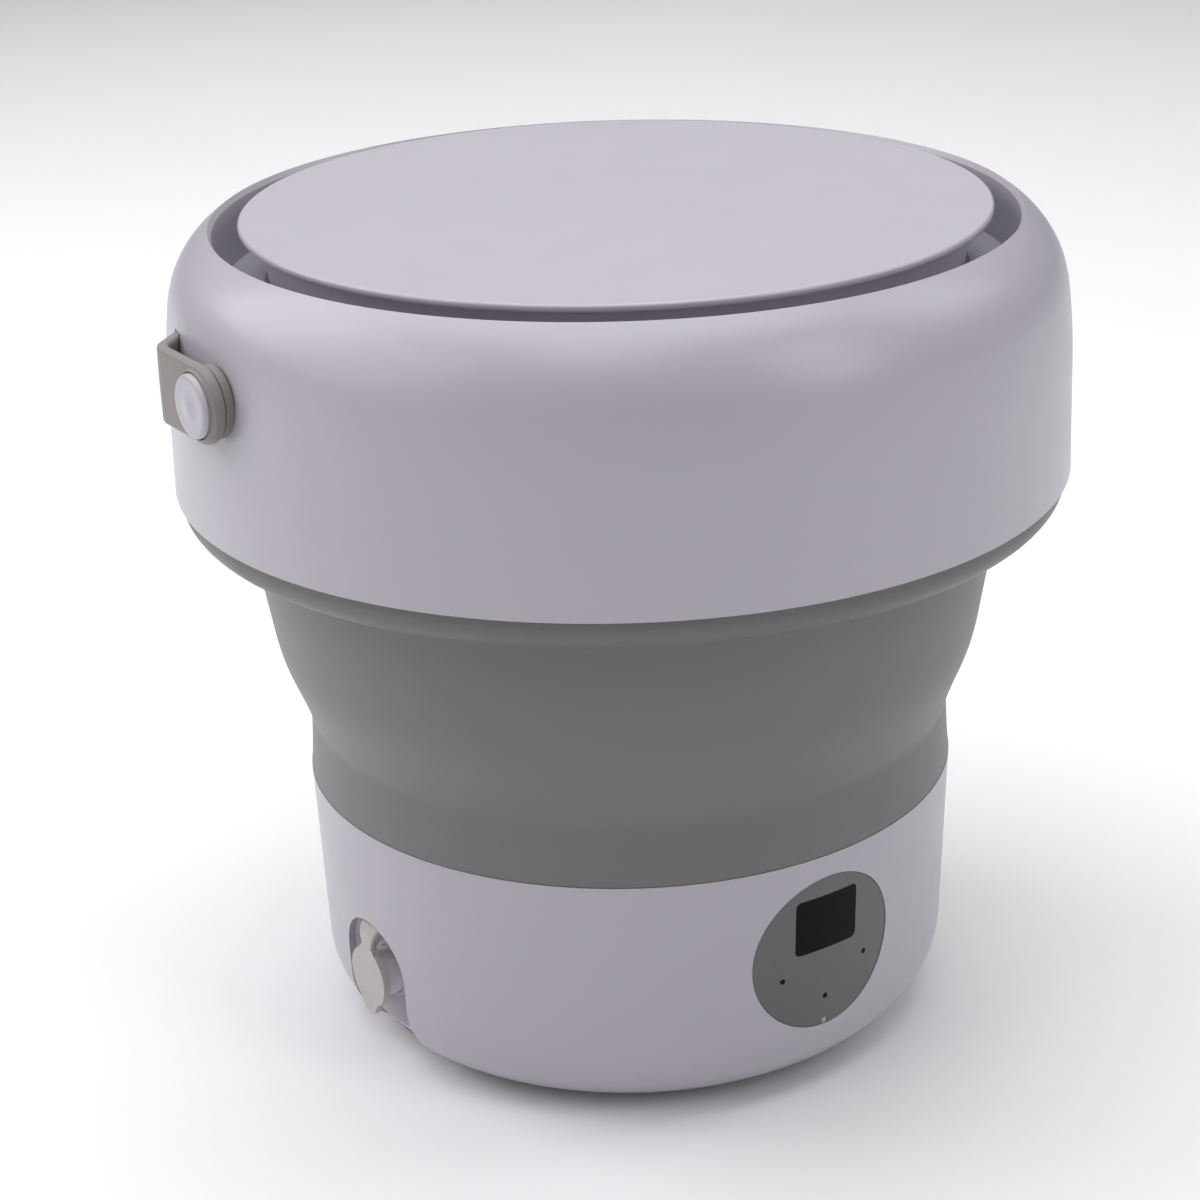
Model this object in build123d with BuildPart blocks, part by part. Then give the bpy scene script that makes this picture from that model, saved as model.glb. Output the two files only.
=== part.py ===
from build123d import *
import os
from math import atan, cos, degrees, radians, sin, sqrt, tan

os.makedirs("parts", exist_ok=True)

# Foldable mini washing machine, millimetres.
# The origin is on the floor on the drum's axis, +Z up, control panel facing -Y, drain facing -X.

# Clearances
fit_gap = 0.3          # between soft or curved pieces that meet
running_gap = 0.05     # radial, between a shaft and its bore
screw_gap = 0.3        # radial, round a screw's shank in a clearance hole
snug_gap = 0.1         # round a piece that drops into its seat
press_gap = 0.02       # radial, where a hub is pushed on its shaft
trim_gap = 0.05        # round a lens or a thread

# Screws
screw_radius = 1.5
screw_head_height = 2.2
screw_head_ratio = 1.9
lid_screw_length = 12.0
bottom_screw_length = 18.0
housing_screw_length = 9.0
motor_screw_length = 17.0

# Overall sizes, open
base_height = 110.8
base_top_radius = 135.8
open_height = 129.6         # from the base's top to the outer shell's foot
shell_overhang = 46.2       # from the base's top out to the outer shell's foot

# Outer shell of the upper body
shell_wall = 2.5
shell_side_length = 45.7
shell_lean = 1.14
side_arc_radius = 236.0
side_arc_turn = 7.2
shoulder_radius = 40.0
shoulder_turn = 48.6

# Trough round the lid, and the mouth of the drum
trough_depth = 25.2
trough_draft = 1.4
ledge_width = 23.62
mouth_step = 1.5
collar_wall = 2.5
collar_gap = 0.8
collar_straight = 27.7
collar_screw_count = 8

# Grey skirt ring under the outer shell
skirt_step = 2.0
skirt_inset = 25.0
skirt_lip = 3.33
skirt_bowl_drop = 13.9
skirt_wall = 2.2
skirt_spigot_height = 9.0
skirt_spigot_wall = 2.5
skirt_ledge_thickness = 2.5
skirt_ledge_margin = 2.0
skirt_skin = 0.8

# Silicone bellows
bellows_wall = 2.2
bellows_flange_reach = 10.7
bellows_crease_rise = 25.1
bellows_crease_inset = 1.6
bellows_wall_shares = (
    (1.0, 0.0),
    (0.861, 0.108),
    (0.733, 0.187),
    (0.527, 0.330),
    (0.396, 0.433),
    (0.301, 0.552),
    (0.154, 0.798),
    (0.029, 0.980),
)
bellows_skirt_depth = 7.5
clamp_thickness = 2.5

# Base
foot_height = 1.5
foot_radius = 8.0
foot_inset = 14.0
foot_recess = 2.0
foot_chamfer = 0.6
base_lean = 2.07
base_wall = 3.0
base_round_width = 38.0
base_round_height = 34.0
base_opening_inset = 47.8
cover_thickness = 3.0
cover_flange = 6.0
cover_flange_thickness = 2.0

# Lower tub
tub_wall = 2.5
tub_straight = 2.5
tub_corner_inset = 18.3
tub_corner_rise = 10.0
tub_floor_inset = 29.8
tub_leg_radius = 6.0
tub_leg_inset = 10.0
tub_leg_angle = 45.0
motor_post_radius = 5.0
housing_post_radius = 4.0
tub_lip_drop = 0.8
outlet_drop = 8.0
leg_head_radius = 3.85
leg_head_height = 2.0

# Drive
shaft_radius = 3.95
shaft_tail = 2.0
shaft_drop = 6.0
shaft_thread_depth = 12.0
clip_thickness = 1.1
clip_width = 3.0
bearing_radius = 11.0
bearing_thickness = 7.0
seal_thickness = 5.5
housing_wall = 4.0
housing_rise = 8.0
housing_flange_radius = 32.0
housing_flange_drop = 11.5
housing_flange_thickness = 3.0
housing_screw_circle = 26.0
housing_shoulder = 2.0
pulley_gap = 3.5
pulley_width = 10.0
pulley_rim = 3.0
pulley_groove_radius = 42.0
motor_groove_radius = 7.0
pulley_hub_radius = 12.0
pulley_web = 3.0
pulley_hole_radius = 8.0
pulley_holes = 6
belt_thickness = 2.5
belt_width = 6.0
motor_offset = 68.0
motor_radius = 25.0
motor_length = 45.0
motor_shaft_radius = 2.5
motor_boss_radius = 9.0
motor_boss_drop = 0.5
motor_round = 2.0
motor_bore_depth = 20.0
motor_shaft_end = 17.0
bracket_edge = 2.0
bracket_plate_radius = 22.5
bracket_gap = 2.0
motor_head_gap = 4.0
bracket_thickness = 2.5
bracket_reach = 36.0
grommet_height = 4.5
grommet_radius = 6.0

# Pulsator
pulsator_radius = 70.0
pulsator_gap = 3.0
pulsator_plate = 3.0
pulsator_dome = 26.0
pulsator_dome_radius = 24.0
pulsator_blades = 4
blade_height = 16.0
blade_width = 9.0
blade_edge = 5.0
blade_draft = 7.0
dome_peak_radius = 9.0
dome_shoulder = (17.3, 11.7)
pulsator_rim = 1.8
pulsator_hole_radius = 2.2
pulsator_hole_circle = 52.5
pulsator_screw_head = 4.3
pulsator_screw_head_height = 2.4
pulsator_screw_length = 13.4

# Drain
drain_side = -3.0
drain_height = 43.0
niche_half_width = 21.5
niche_crown = 68.0
niche_depth = 32.85
niche_floor = 20.0
niche_foot = 7.0
niche_wall = 2.5
spout_radius = 10.0
spout_bore = 7.5
spout_setback = 0.65
spout_flange_radius = 14.0
spout_flange = 2.5
spout_seat_depth = 1.5
spout_seat_boss = 3.0
spigot_length = 4.0
hose_radius = 8.5
hose_bore = 6.2
hose_bend = 9.0
outlet_inset = 24.0
outlet_bore = 4.5
strainer_radius = 11.0
strainer_thickness = 1.2
strainer_hole_radius = 1.25
strainer_ring_step = 3.4
plug_radius = 13.0
plug_thickness = 3.0
plug_stem_length = 10.0
plug_tab_width = 11.0
plug_tab_reach = 4.5
plug_neck_reach = 2.0
plug_round = 0.8
tether_width = 10.0
tether_thickness = 2.2
tether_rise = 23.5
tether_ring = 2.5
tether_ring_back = 7.5

# Carrying strap
strap_rise = 59.7
strap_width = 30.0
strap_thickness = 4.5
strap_standoff = 3.5
strap_azimuth = 180.0
strap_reach = 28.0
strap_bend = 8.0
strap_turn = 50.0
strap_tail = 22.0
strap_toggle_reach = 2.5
strap_toggle_length = 4.0
button_radius = 12.3
button_rise = 4.3
button_edge = 1.4
button_shoulder_share = 0.62
button_shoulder_rise = 0.78
button_shank_radius = 5.0
strap_ring_width = 1.4
strap_ring_rise = 1.2
spacer_radius = 14.0
strap_screw_head = 3.5

# Lid
lid_rim_gap = 11.88
lid_thickness = 3.0
lid_rise = 2.5
lid_edge_round = 1.3
lid_overlap = 7.5
lid_plug_taper = 3.5
lid_wall = 2.5
seal_height = 3.2
seal_width = 4.5
lid_screw_circle = 100.0
lid_post_radius = 6.0

# Control panel
panel_drop = 43.4
panel_radius = 33.7
panel_recess = 0.3
panel_thickness = 2.5
panel_border = 1.0
panel_web = 2.0
window_width = 30.4
window_height = 24.4
window_rise = 13.4
window_round = 2.5
window_lap = 1.0
indicator_radius = 1.25
indicator_side = 20.6
indicator_drop = 8.2
indicator_low = 21.0
key_width = 2.5
board_thickness = 1.6
display_board_width = 50.0
display_board_height = 44.0
board_edge = 4.0
board_corner = 2.0
board_gap = 3.0
contact_radius = 3.0
module_width = 26.0
module_height = 19.0
driver_board_width = 56.0
driver_board_depth = 34.0
driver_board_inset = 20.0
driver_board_rise = 4.5
standoff_radius = 3.0
driver_screw_radius = 1.15
driver_screw_head = 2.2
driver_screw_head_height = 1.6
driver_screw_length = 6.0
capacitor_radius = 5.0
capacitor_height = 14.0
capacitor_places = ((-14.0, 4.0), (-3.0, 4.0))
regulator_size = (18.0, 6.0, 16.0)
regulator_place = (-10.0, -10.0)
chip_size = (10.0, 10.0, 2.0)
chip_place = (6.0, -9.0)

# Power inlet
jack_height = 40.0
jack_flange_radius = 8.0
jack_flange = 1.5
jack_radius = 5.5
jack_bore = 2.8
jack_pin = 1.05
jack_length = 16.0
jack_seat_depth = 1.4
jack_back_wall = 4.0
nut_reach = 3.2
nut_thickness = 2.5
lead_radius = 1.5
lead_bend = 9.0
lead_gap = 0.8
inlet_lead_place = 12.0
motor_lead = (20.0, 52.0, 60.0)
display_lead = ((-22.0, 50.0), (-45.0, 10.0), (-32.0, -80.0), (-16.0, 56.0))


def polygon(points):
    # A closed section in the plane of radius and height.
    with BuildSketch(Plane.XZ) as section:
        with BuildLine():
            Polyline(*points, close=True)
        make_face()
    return section.sketch


def band(inner, outer, low, high):
    # A rectangular section between two radii and two heights.
    return polygon([(inner, low), (outer, low), (outer, high), (inner, high)])


def stud_plane(azimuth):
    # Plane through the drum's axis at a stud: x runs outwards, y upwards from the strap's middle.
    turn = radians(azimuth)
    out = (cos(turn), sin(turn), 0)
    return Plane(origin=(0, 0, strap_height), x_dir=out, z_dir=(sin(turn), -cos(turn), 0))


def stud_axis(azimuth):
    return Axis((0, 0, strap_height), (cos(radians(azimuth)), sin(radians(azimuth)), 0))


def stud_ring(azimuth, points):
    # A body turned about a stud: distance from the drum's axis, radius about the stud.
    with BuildSketch(stud_plane(azimuth)) as section:
        with BuildLine():
            Polyline(*points, close=True)
        make_face()
    with BuildPart() as body:
        revolve(section.sketch, axis=stud_axis(azimuth))
    return body.part


def drain_ring(points):
    # A body turned about the drain's axis: distance out along -X, radius about that axis.
    plane = Plane(origin=(0, drain_side, drain_height), x_dir=(-1, 0, 0), z_dir=(0, 1, 0))
    with BuildSketch(plane) as section:
        with BuildLine():
            Polyline(*points, close=True)
        make_face()
    with BuildPart() as body:
        revolve(section.sketch, axis=Axis((0, drain_side, drain_height), (-1, 0, 0)))
    return body.part


def tube(inner, outer, low, high):
    # Points of a rectangular section between two radii, from low to high along its axis.
    return [(low, inner), (high, inner), (high, outer), (low, outer)]


def finish(piece, name):
    piece.part.label = name
    export_step(piece.part, f"parts/{name}.step")


# Places worked out from the sizes above
shell_foot_radius = base_top_radius + shell_overhang
shell_foot_height = base_height + open_height
strap_height = shell_foot_height + strap_rise


def arc_step(start, heading, radius, turn):
    # End point and heading after a left-turning arc.
    centre = (start[0] - radius * sin(heading), start[1] + radius * cos(heading))
    heading = heading + radians(turn)
    return (centre[0] + radius * sin(heading), centre[1] - radius * cos(heading)), heading


shell_heading = radians(90 + shell_lean)
shell_side_end = (
    shell_foot_radius + shell_side_length * cos(shell_heading),
    shell_foot_height + shell_side_length * sin(shell_heading),
)
shoulder_start, shoulder_heading = arc_step(shell_side_end, shell_heading, side_arc_radius, side_arc_turn)
rim_point, rim_heading = arc_step(shoulder_start, shoulder_heading, shoulder_radius, shoulder_turn)
rim_radius, rim_height = rim_point


def shell_side(inset):
    # The outer shell's surface, or one parallel to it, as a body filled to the axis.
    start = (
        shell_foot_radius - inset / sin(shell_heading),
        shell_foot_height,
    )
    lean = (cos(shell_heading), sin(shell_heading))
    with BuildSketch(Plane.XZ) as section:
        with BuildLine():
            length = shell_side_length + inset / tan(shell_heading)
            side = Line(start, (start[0] + length * lean[0], start[1] + length * lean[1]))
            low_arc = JernArc(side @ 1, side % 1, side_arc_radius - inset, side_arc_turn)
            top_arc = JernArc(low_arc @ 1, low_arc % 1, shoulder_radius - inset, shoulder_turn)
            Polyline(top_arc @ 1, (0, (top_arc @ 1).Y), (0, shell_foot_height), start)
        make_face()
    with BuildPart() as body:
        revolve(section.sketch, axis=Axis.Z)
    return body.part


def shell_radius_at(height):
    # Radius of the outer shell's face at a height on its side arc.
    centre_height = shell_side_end[1] + side_arc_radius * cos(shell_heading)
    centre_radius = shell_side_end[0] - side_arc_radius * sin(shell_heading)
    return centre_radius + sqrt(side_arc_radius**2 - (height - centre_height) ** 2)


base_slope = tan(radians(base_lean))
round_start = -degrees(atan(base_slope * base_round_height / base_round_width))
round_centre_height = foot_height + base_round_height
round_top = round_centre_height + base_round_height * sin(radians(round_start))
base_foot_radius = base_top_radius - base_slope * (base_height - round_top)
round_centre_radius = base_foot_radius - base_round_width * cos(radians(round_start))


def base_radius_at(height):
    # Outer radius of the base's wall above its round.
    return base_top_radius - base_slope * (base_height - height)


panel_height = base_height - panel_drop
panel_depth = panel_recess + panel_thickness
panel_edge = sqrt(base_radius_at(panel_height) ** 2 - panel_radius**2)
niche_back = base_radius_at(drain_height) - niche_depth
spout_end = base_radius_at(drain_height) - spout_setback
base_opening_radius = base_top_radius - base_opening_inset
foot_circle = base_opening_radius - foot_inset

# The drive's stack of heights, from the bottom cover up to the tub's floor.
cover_top = foot_height + cover_thickness
cover_flange_top = cover_top + cover_flange_thickness
driver_board_height = cover_flange_top + driver_board_rise
driver_board_place = base_opening_radius - driver_board_inset
pulley_low = cover_flange_top + pulley_gap
pulley_top = pulley_low + pulley_width
shaft_foot = pulley_low - shaft_tail
bracket_height = pulley_top + bracket_gap
bracket_top = bracket_height + bracket_thickness
housing_foot = pulley_top + housing_rise
tub_underside = bracket_top + motor_length + motor_head_gap
tub_floor_height = tub_underside + tub_wall
housing_flange_height = tub_underside - housing_flange_drop


def base_side(inset):
    # The base's outer surface, or one parallel to it, as a body filled to the axis.
    with BuildSketch(Plane.XZ) as section:
        with BuildLine():
            turn = EllipticalCenterArc(
                (round_centre_radius, round_centre_height),
                base_round_width - inset,
                base_round_height - inset,
                start_angle=-90,
                arc_size=90 + round_start,
            )
            Polyline(turn @ 1, (base_top_radius - inset, base_height), (0, base_height))
            Polyline((0, base_height), (0, foot_height + inset), turn @ 0)
        make_face()
    with BuildPart() as body:
        revolve(section.sketch, axis=Axis.Z)
    return body.part


# Upper body: outer shell with its rim and the trough's wall
trough_floor = rim_height - trough_depth
trough_top_radius = rim_radius + shell_wall * cos(rim_heading + radians(90))
trough_top = rim_height + shell_wall * sin(rim_heading + radians(90))
trough_foot_radius = trough_top_radius - trough_draft
mouth_radius = trough_foot_radius - ledge_width
ledge_foot = trough_floor - shell_wall
strap_seat = shell_radius_at(strap_height)
strap_inner = strap_seat + strap_standoff
strap_outer = strap_inner + strap_thickness
strap_low = strap_height - strap_width / 2
strap_hole_radius = screw_radius + screw_gap


def strap_band(gap, toggle=0.0):
    # The strap's flat band, grown by a gap: straight past its stud, then bent in through the shell's slot.
    # A toggle of the given length closes its end.
    turn = radians(strap_azimuth)
    plane = Plane(origin=(0, 0, strap_low - gap), x_dir=(-cos(turn), -sin(turn), 0), z_dir=(0, 0, 1))
    with BuildSketch(plane) as plan:
        with BuildLine():
            outer = Line((-strap_outer, 0), (-strap_outer, strap_reach))
            outer_bend = JernArc(outer @ 1, (0, 1), strap_bend + strap_thickness, -strap_turn)
            outer_tail = Line(outer_bend @ 1, outer_bend @ 1 + (outer_bend % 1) * strap_tail)
            inner = Line((-strap_inner, 0), (-strap_inner, strap_reach))
            inner_bend = JernArc(inner @ 1, (0, 1), strap_bend, -strap_turn)
            inner_tail = Line(inner_bend @ 1, inner_bend @ 1 + (inner_bend % 1) * strap_tail)
            Line(outer @ 0, inner @ 0)
            Line(outer_tail @ 1, inner_tail @ 1)
        make_face()
        if gap:
            offset(amount=gap)
        if toggle:
            end = (outer_tail @ 1 + inner_tail @ 1) / 2 + (outer_tail % 1) * (toggle / 2)
            with Locations(Location((end.X, end.Y, 0), (0, 0, 90 - strap_turn))):
                Rectangle(toggle, strap_thickness + 2 * strap_toggle_reach)
    with BuildPart() as body:
        extrude(plan.sketch, amount=strap_width + 2 * gap)
    return body.part


with BuildPart() as upper_shell:
    add(shell_side(0))
    add(shell_side(shell_wall), mode=Mode.SUBTRACT)
    with BuildSketch(Plane.XY.offset(shell_foot_height)):
        Circle(rim_radius)
    extrude(amount=rim_height - shell_foot_height + shell_wall, mode=Mode.SUBTRACT)
    trough_wall = [
        (rim_radius, rim_height),
        (trough_top_radius, trough_top),
        (trough_foot_radius, trough_floor),
        (trough_foot_radius + shell_wall, trough_floor),
        (trough_top_radius + shell_wall, trough_top),
    ]
    revolve(polygon(trough_wall), axis=Axis.Z)
    # The stud's hole and the slot for the strap's far end.
    hole = tube(0, strap_hole_radius, trough_foot_radius + 2 * shell_wall, strap_outer)
    add(stud_ring(strap_azimuth, hole), mode=Mode.SUBTRACT)
    add(strap_band(fit_gap), mode=Mode.SUBTRACT)
finish(upper_shell, "upper_shell")

# Skirt ring: a shallow bowl under the outer shell, with a ledge round its mouth for the bellows
skirt_top_radius = shell_foot_radius - skirt_step
skirt_foot_radius = shell_foot_radius - skirt_inset
skirt_top = shell_foot_height - fit_gap
skirt_rim = skirt_top - skirt_lip
skirt_foot = skirt_rim - skirt_bowl_drop
skirt_mouth = skirt_foot_radius - skirt_wall
bellows_top_radius = skirt_mouth - fit_gap
ledge_high = skirt_foot + skirt_ledge_thickness
collar_flange_radius = bellows_top_radius - bellows_wall + bellows_flange_reach
ledge_radius = collar_flange_radius + skirt_ledge_margin
collar_screw_circle = (bellows_top_radius + collar_flange_radius) / 2
collar_screw_foot = skirt_foot + skirt_skin
spigot_outer = shell_foot_radius - shell_wall - fit_gap
spigot_inner = spigot_outer - skirt_spigot_wall


def skirt_body(inset):
    # The bowl's outer surface, or one parallel to it, as a body filled to the axis.
    with BuildSketch(Plane.XZ) as section:
        with BuildLine():
            bowl = EllipticalCenterArc(
                (skirt_foot_radius, skirt_rim),
                skirt_top_radius - skirt_foot_radius - inset,
                skirt_bowl_drop - inset,
                start_angle=-90,
                arc_size=90,
            )
            Polyline(bowl @ 1, (skirt_top_radius - inset, skirt_top), (0, skirt_top), (0, skirt_foot + inset), bowl @ 0)
        make_face()
    with BuildPart() as body:
        revolve(section.sketch, axis=Axis.Z)
    return body.part


with BuildPart() as skirt_room:
    add(skirt_body(skirt_wall))
    revolve(band(0, ledge_radius, skirt_foot, ledge_high), axis=Axis.Z, mode=Mode.SUBTRACT)

with BuildPart() as skirt_ring:
    add(skirt_body(0))
    add(skirt_room.part, mode=Mode.SUBTRACT)
    revolve(band(0, skirt_mouth, skirt_foot, skirt_top), axis=Axis.Z, mode=Mode.SUBTRACT)
    spigot = [
        (spigot_inner, skirt_rim),
        (skirt_top_radius - skirt_wall / 2, skirt_rim),
        (skirt_top_radius - skirt_wall / 2, skirt_top),
        (spigot_outer, skirt_top),
        (spigot_outer, skirt_top + skirt_spigot_height),
        (spigot_inner, skirt_top + skirt_spigot_height),
    ]
    revolve(polygon(spigot), axis=Axis.Z)
    with BuildSketch(Plane.XY.offset(collar_screw_foot)):
        with PolarLocations(collar_screw_circle, collar_screw_count):
            Circle(screw_radius + screw_gap)
    extrude(amount=skirt_ledge_thickness, mode=Mode.SUBTRACT)
finish(skirt_ring, "skirt_ring")

# Silicone bellows, from its flange in the upper body to its skirt in the base
bellows_flange_low = ledge_high + fit_gap
bellows_flange_high = bellows_flange_low + bellows_wall
bellows_foot = base_height + fit_gap
bellows_foot_radius = base_top_radius - fit_gap
bellows_skirt_radius = base_top_radius - base_wall - 2 * fit_gap
bellows_skirt_foot = base_height - bellows_skirt_depth
bellows_crease_radius = base_top_radius - bellows_crease_inset
bellows_crease_height = base_height + bellows_crease_rise
band_radius = (bellows_foot_radius + 2 * bellows_crease_radius) / 3
band_height = (bellows_foot + bellows_crease_height) / 2
wall_rise = skirt_foot - bellows_crease_height
wall_reach = bellows_top_radius - bellows_crease_radius


def bellows_wall_points(inset):
    # Points of the bellows' curved wall above its crease, from the skirt ring down.
    return [
        (bellows_top_radius - inset - drop * wall_reach, bellows_crease_height + rise * wall_rise)
        for rise, drop in bellows_wall_shares
    ]


with BuildPart() as bellows:
    with BuildSketch(Plane.XZ):
        with BuildLine():
            outer_wall = bellows_wall_points(0)
            inner_wall = bellows_wall_points(bellows_wall)
            crease = (bellows_crease_radius, bellows_crease_height)
            inner_crease = (bellows_crease_radius - bellows_wall, bellows_crease_height)
            Spline(*outer_wall, tangents=[(-0.25, -1), (-0.3, -1)])
            Polyline(outer_wall[-1], crease)
            ThreePointArc(crease, (band_radius, band_height), (bellows_foot_radius, bellows_foot))
            Polyline(
                (bellows_foot_radius, bellows_foot),
                (bellows_skirt_radius, bellows_foot),
                (bellows_skirt_radius, bellows_skirt_foot),
                (bellows_skirt_radius - bellows_wall, bellows_skirt_foot),
                (bellows_skirt_radius - bellows_wall, bellows_foot + bellows_wall),
                (bellows_foot_radius - bellows_wall, bellows_foot + bellows_wall),
            )
            ThreePointArc(
                (bellows_foot_radius - bellows_wall, bellows_foot + bellows_wall),
                (band_radius - bellows_wall, band_height),
                inner_crease,
            )
            Polyline(inner_crease, inner_wall[-1])
            Spline(*inner_wall, tangents=[(-0.25, -1), (-0.3, -1)])
            Polyline(
                inner_wall[0],
                (bellows_top_radius - bellows_wall, bellows_flange_high),
                (bellows_top_radius - bellows_wall + bellows_flange_reach, bellows_flange_high),
                (bellows_top_radius - bellows_wall + bellows_flange_reach, bellows_flange_low),
                (bellows_top_radius, bellows_flange_low),
                outer_wall[0],
            )
        make_face()
    revolve(axis=Axis.Z)
    with BuildSketch(Plane.XY.offset(bellows_flange_low)):
        with PolarLocations(collar_screw_circle, collar_screw_count):
            Circle(screw_radius + screw_gap)
    extrude(amount=bellows_wall, mode=Mode.SUBTRACT)
finish(bellows, "bellows")

# Inner collar: the drum's wall inside the upper body, with the trough's floor as its top flange
collar_radius = bellows_top_radius - bellows_wall - collar_gap
collar_top_radius = mouth_radius + mouth_step
collar_flange_low = bellows_flange_high + fit_gap
collar_flange_high = collar_flange_low + collar_wall
collar_straight_top = collar_flange_low + collar_straight
with BuildPart() as inner_collar:
    collar_outline = [
        (collar_radius, collar_flange_low),
        (collar_radius, collar_straight_top),
        (collar_top_radius, ledge_foot),
        (mouth_radius, ledge_foot),
        (mouth_radius, trough_floor),
        (trough_foot_radius + shell_wall, trough_floor),
        (trough_foot_radius + shell_wall, ledge_foot),
        (collar_top_radius + collar_wall, ledge_foot),
        (collar_radius + collar_wall, collar_straight_top),
        (collar_radius + collar_wall, collar_flange_high),
        (collar_flange_radius, collar_flange_high),
        (collar_flange_radius, collar_flange_low),
    ]
    revolve(polygon(collar_outline), axis=Axis.Z)
    with BuildSketch(Plane.XY.offset(collar_flange_low)):
        with PolarLocations(collar_screw_circle, collar_screw_count):
            Circle(screw_radius + screw_gap)
    extrude(amount=collar_wall, mode=Mode.SUBTRACT)
finish(inner_collar, "inner_collar")

with BuildPart() as collar_screws:
    with BuildSketch(Plane.XY.offset(collar_screw_foot + fit_gap)):
        with PolarLocations(collar_screw_circle, collar_screw_count):
            Circle(screw_radius)
    extrude(amount=collar_flange_high - collar_screw_foot - fit_gap)
    with BuildSketch(Plane.XY.offset(collar_flange_high)):
        with PolarLocations(collar_screw_circle, collar_screw_count):
            Circle(screw_radius * screw_head_ratio)
    extrude(amount=screw_head_height)
finish(collar_screws, "collar_screws")

# Carrying strap with its stud
strap_round = strap_width / 2
button_hole_radius = button_shank_radius + fit_gap
ring_outer = button_radius + fit_gap + strap_ring_width
ring_inner = button_radius + fit_gap

with BuildPart() as strap:
    add(strap_band(0, strap_toggle_length))
    add(stud_ring(strap_azimuth, tube(0, strap_round, strap_inner, strap_outer)))
    rise = tube(ring_inner, ring_outer, strap_outer - strap_ring_rise, strap_outer + strap_ring_rise)
    add(stud_ring(strap_azimuth, rise))
    hole = tube(0, button_hole_radius, strap_inner - strap_round, strap_outer + strap_round)
    add(stud_ring(strap_azimuth, hole), mode=Mode.SUBTRACT)
finish(strap, "strap")

with BuildPart() as strap_spacer:
    spacer = tube(button_hole_radius, spacer_radius, strap_seat - 2 * strap_standoff, strap_inner - fit_gap / 2)
    add(stud_ring(strap_azimuth, spacer))
    add(shell_side(-fit_gap / 2), mode=Mode.SUBTRACT)
finish(strap_spacer, "strap_spacer")

button_face = strap_outer + button_rise
button_seat = strap_outer + fit_gap
button_bore_end = strap_outer
with BuildPart() as strap_button:
    with BuildSketch(stud_plane(strap_azimuth)):
        with BuildLine():
            rim = (button_seat + button_edge, button_radius)
            crown = (button_face, 0)
            shoulder = (
                button_seat + button_shoulder_rise * (button_face - button_seat),
                button_shoulder_share * button_radius,
            )
            Polyline(
                crown,
                (button_bore_end, 0),
                (button_bore_end, screw_radius),
                (strap_seat + 2 * fit_gap, screw_radius),
                (strap_seat + 2 * fit_gap, button_shank_radius),
                (button_seat, button_shank_radius),
                (button_seat, button_radius),
                rim,
            )
            Spline(rim, shoulder, crown, tangents=[(1, 0), (0, -1)])
        make_face()
    revolve(axis=stud_axis(strap_azimuth))
finish(strap_button, "strap_button")

wall_inside = strap_seat - shell_wall - fit_gap
with BuildPart() as strap_screw:
    shank = tube(0, screw_radius, wall_inside - fit_gap, button_bore_end - fit_gap)
    head_low = wall_inside - fit_gap - screw_head_height
    head = tube(0, strap_screw_head, head_low, wall_inside - fit_gap)
    add(stud_ring(strap_azimuth, shank))
    add(stud_ring(strap_azimuth, head))
finish(strap_screw, "strap_screw")

# Lid: a flat disc on a tapered hollow plug, with a seal that stands on the ledge
lid_top = rim_height + lid_rise
lid_underside = lid_top - lid_thickness
lid_radius = rim_radius - lid_rim_gap
lid_plug_radius = lid_radius - lid_overlap
seal_low = trough_floor + fit_gap
lid_plug_low = seal_low + seal_height
lid_plug_foot_radius = lid_plug_radius - lid_plug_taper
lid_plug_depth = lid_underside - lid_plug_low
with BuildPart() as lid_disc:
    with BuildSketch(Plane.XY.offset(lid_underside)):
        Circle(lid_radius)
    extrude(amount=lid_thickness)
    fillet(lid_disc.edges().filter_by(GeomType.CIRCLE), lid_edge_round)
    lid_spigot_depth = 2 * lid_wall
    lid_spigot_draft = lid_plug_taper * lid_spigot_depth / lid_plug_depth
    lid_spigot_radius = lid_plug_radius - lid_wall - lid_spigot_draft - fit_gap
    lid_spigot_low = lid_underside - lid_spigot_depth
    revolve(band(lid_spigot_radius - lid_wall, lid_spigot_radius, lid_spigot_low, lid_underside), axis=Axis.Z)
    with BuildSketch(Plane.XY.offset(lid_plug_low + lid_wall)):
        with PolarLocations(lid_screw_circle, 4, 45):
            Circle(lid_post_radius)
            Circle(screw_radius, mode=Mode.SUBTRACT)
    extrude(amount=lid_underside - lid_plug_low - lid_wall)
finish(lid_disc, "lid_disc")

with BuildPart() as lid_plug:
    plug_outline = [
        (0, lid_plug_low),
        (lid_plug_foot_radius, lid_plug_low),
        (lid_plug_radius, lid_underside),
        (lid_plug_radius - lid_wall, lid_underside),
        (lid_plug_foot_radius - lid_wall, lid_plug_low + lid_wall),
        (0, lid_plug_low + lid_wall),
    ]
    revolve(polygon(plug_outline), axis=Axis.Z)
    with BuildSketch(Plane.XY.offset(lid_plug_low)):
        with PolarLocations(lid_screw_circle, 4, 45):
            Circle(screw_radius + screw_gap)
    extrude(amount=lid_wall, mode=Mode.SUBTRACT)
finish(lid_plug, "lid_plug")

with BuildPart() as lid_screws:
    with BuildSketch(Plane.XY.offset(lid_plug_low - screw_head_height)):
        with PolarLocations(lid_screw_circle, 4, 45):
            Circle(screw_radius * screw_head_ratio)
    extrude(amount=screw_head_height)
    with BuildSketch(Plane.XY.offset(lid_plug_low)):
        with PolarLocations(lid_screw_circle, 4, 45):
            Circle(screw_radius)
    extrude(amount=lid_screw_length)
finish(lid_screws, "lid_screws")

with BuildPart() as lid_seal:
    seal_outer = lid_plug_foot_radius + seal_width / 2
    revolve(band(seal_outer - seal_width, seal_outer, seal_low, lid_plug_low), axis=Axis.Z)
finish(lid_seal, "lid_seal")

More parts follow.
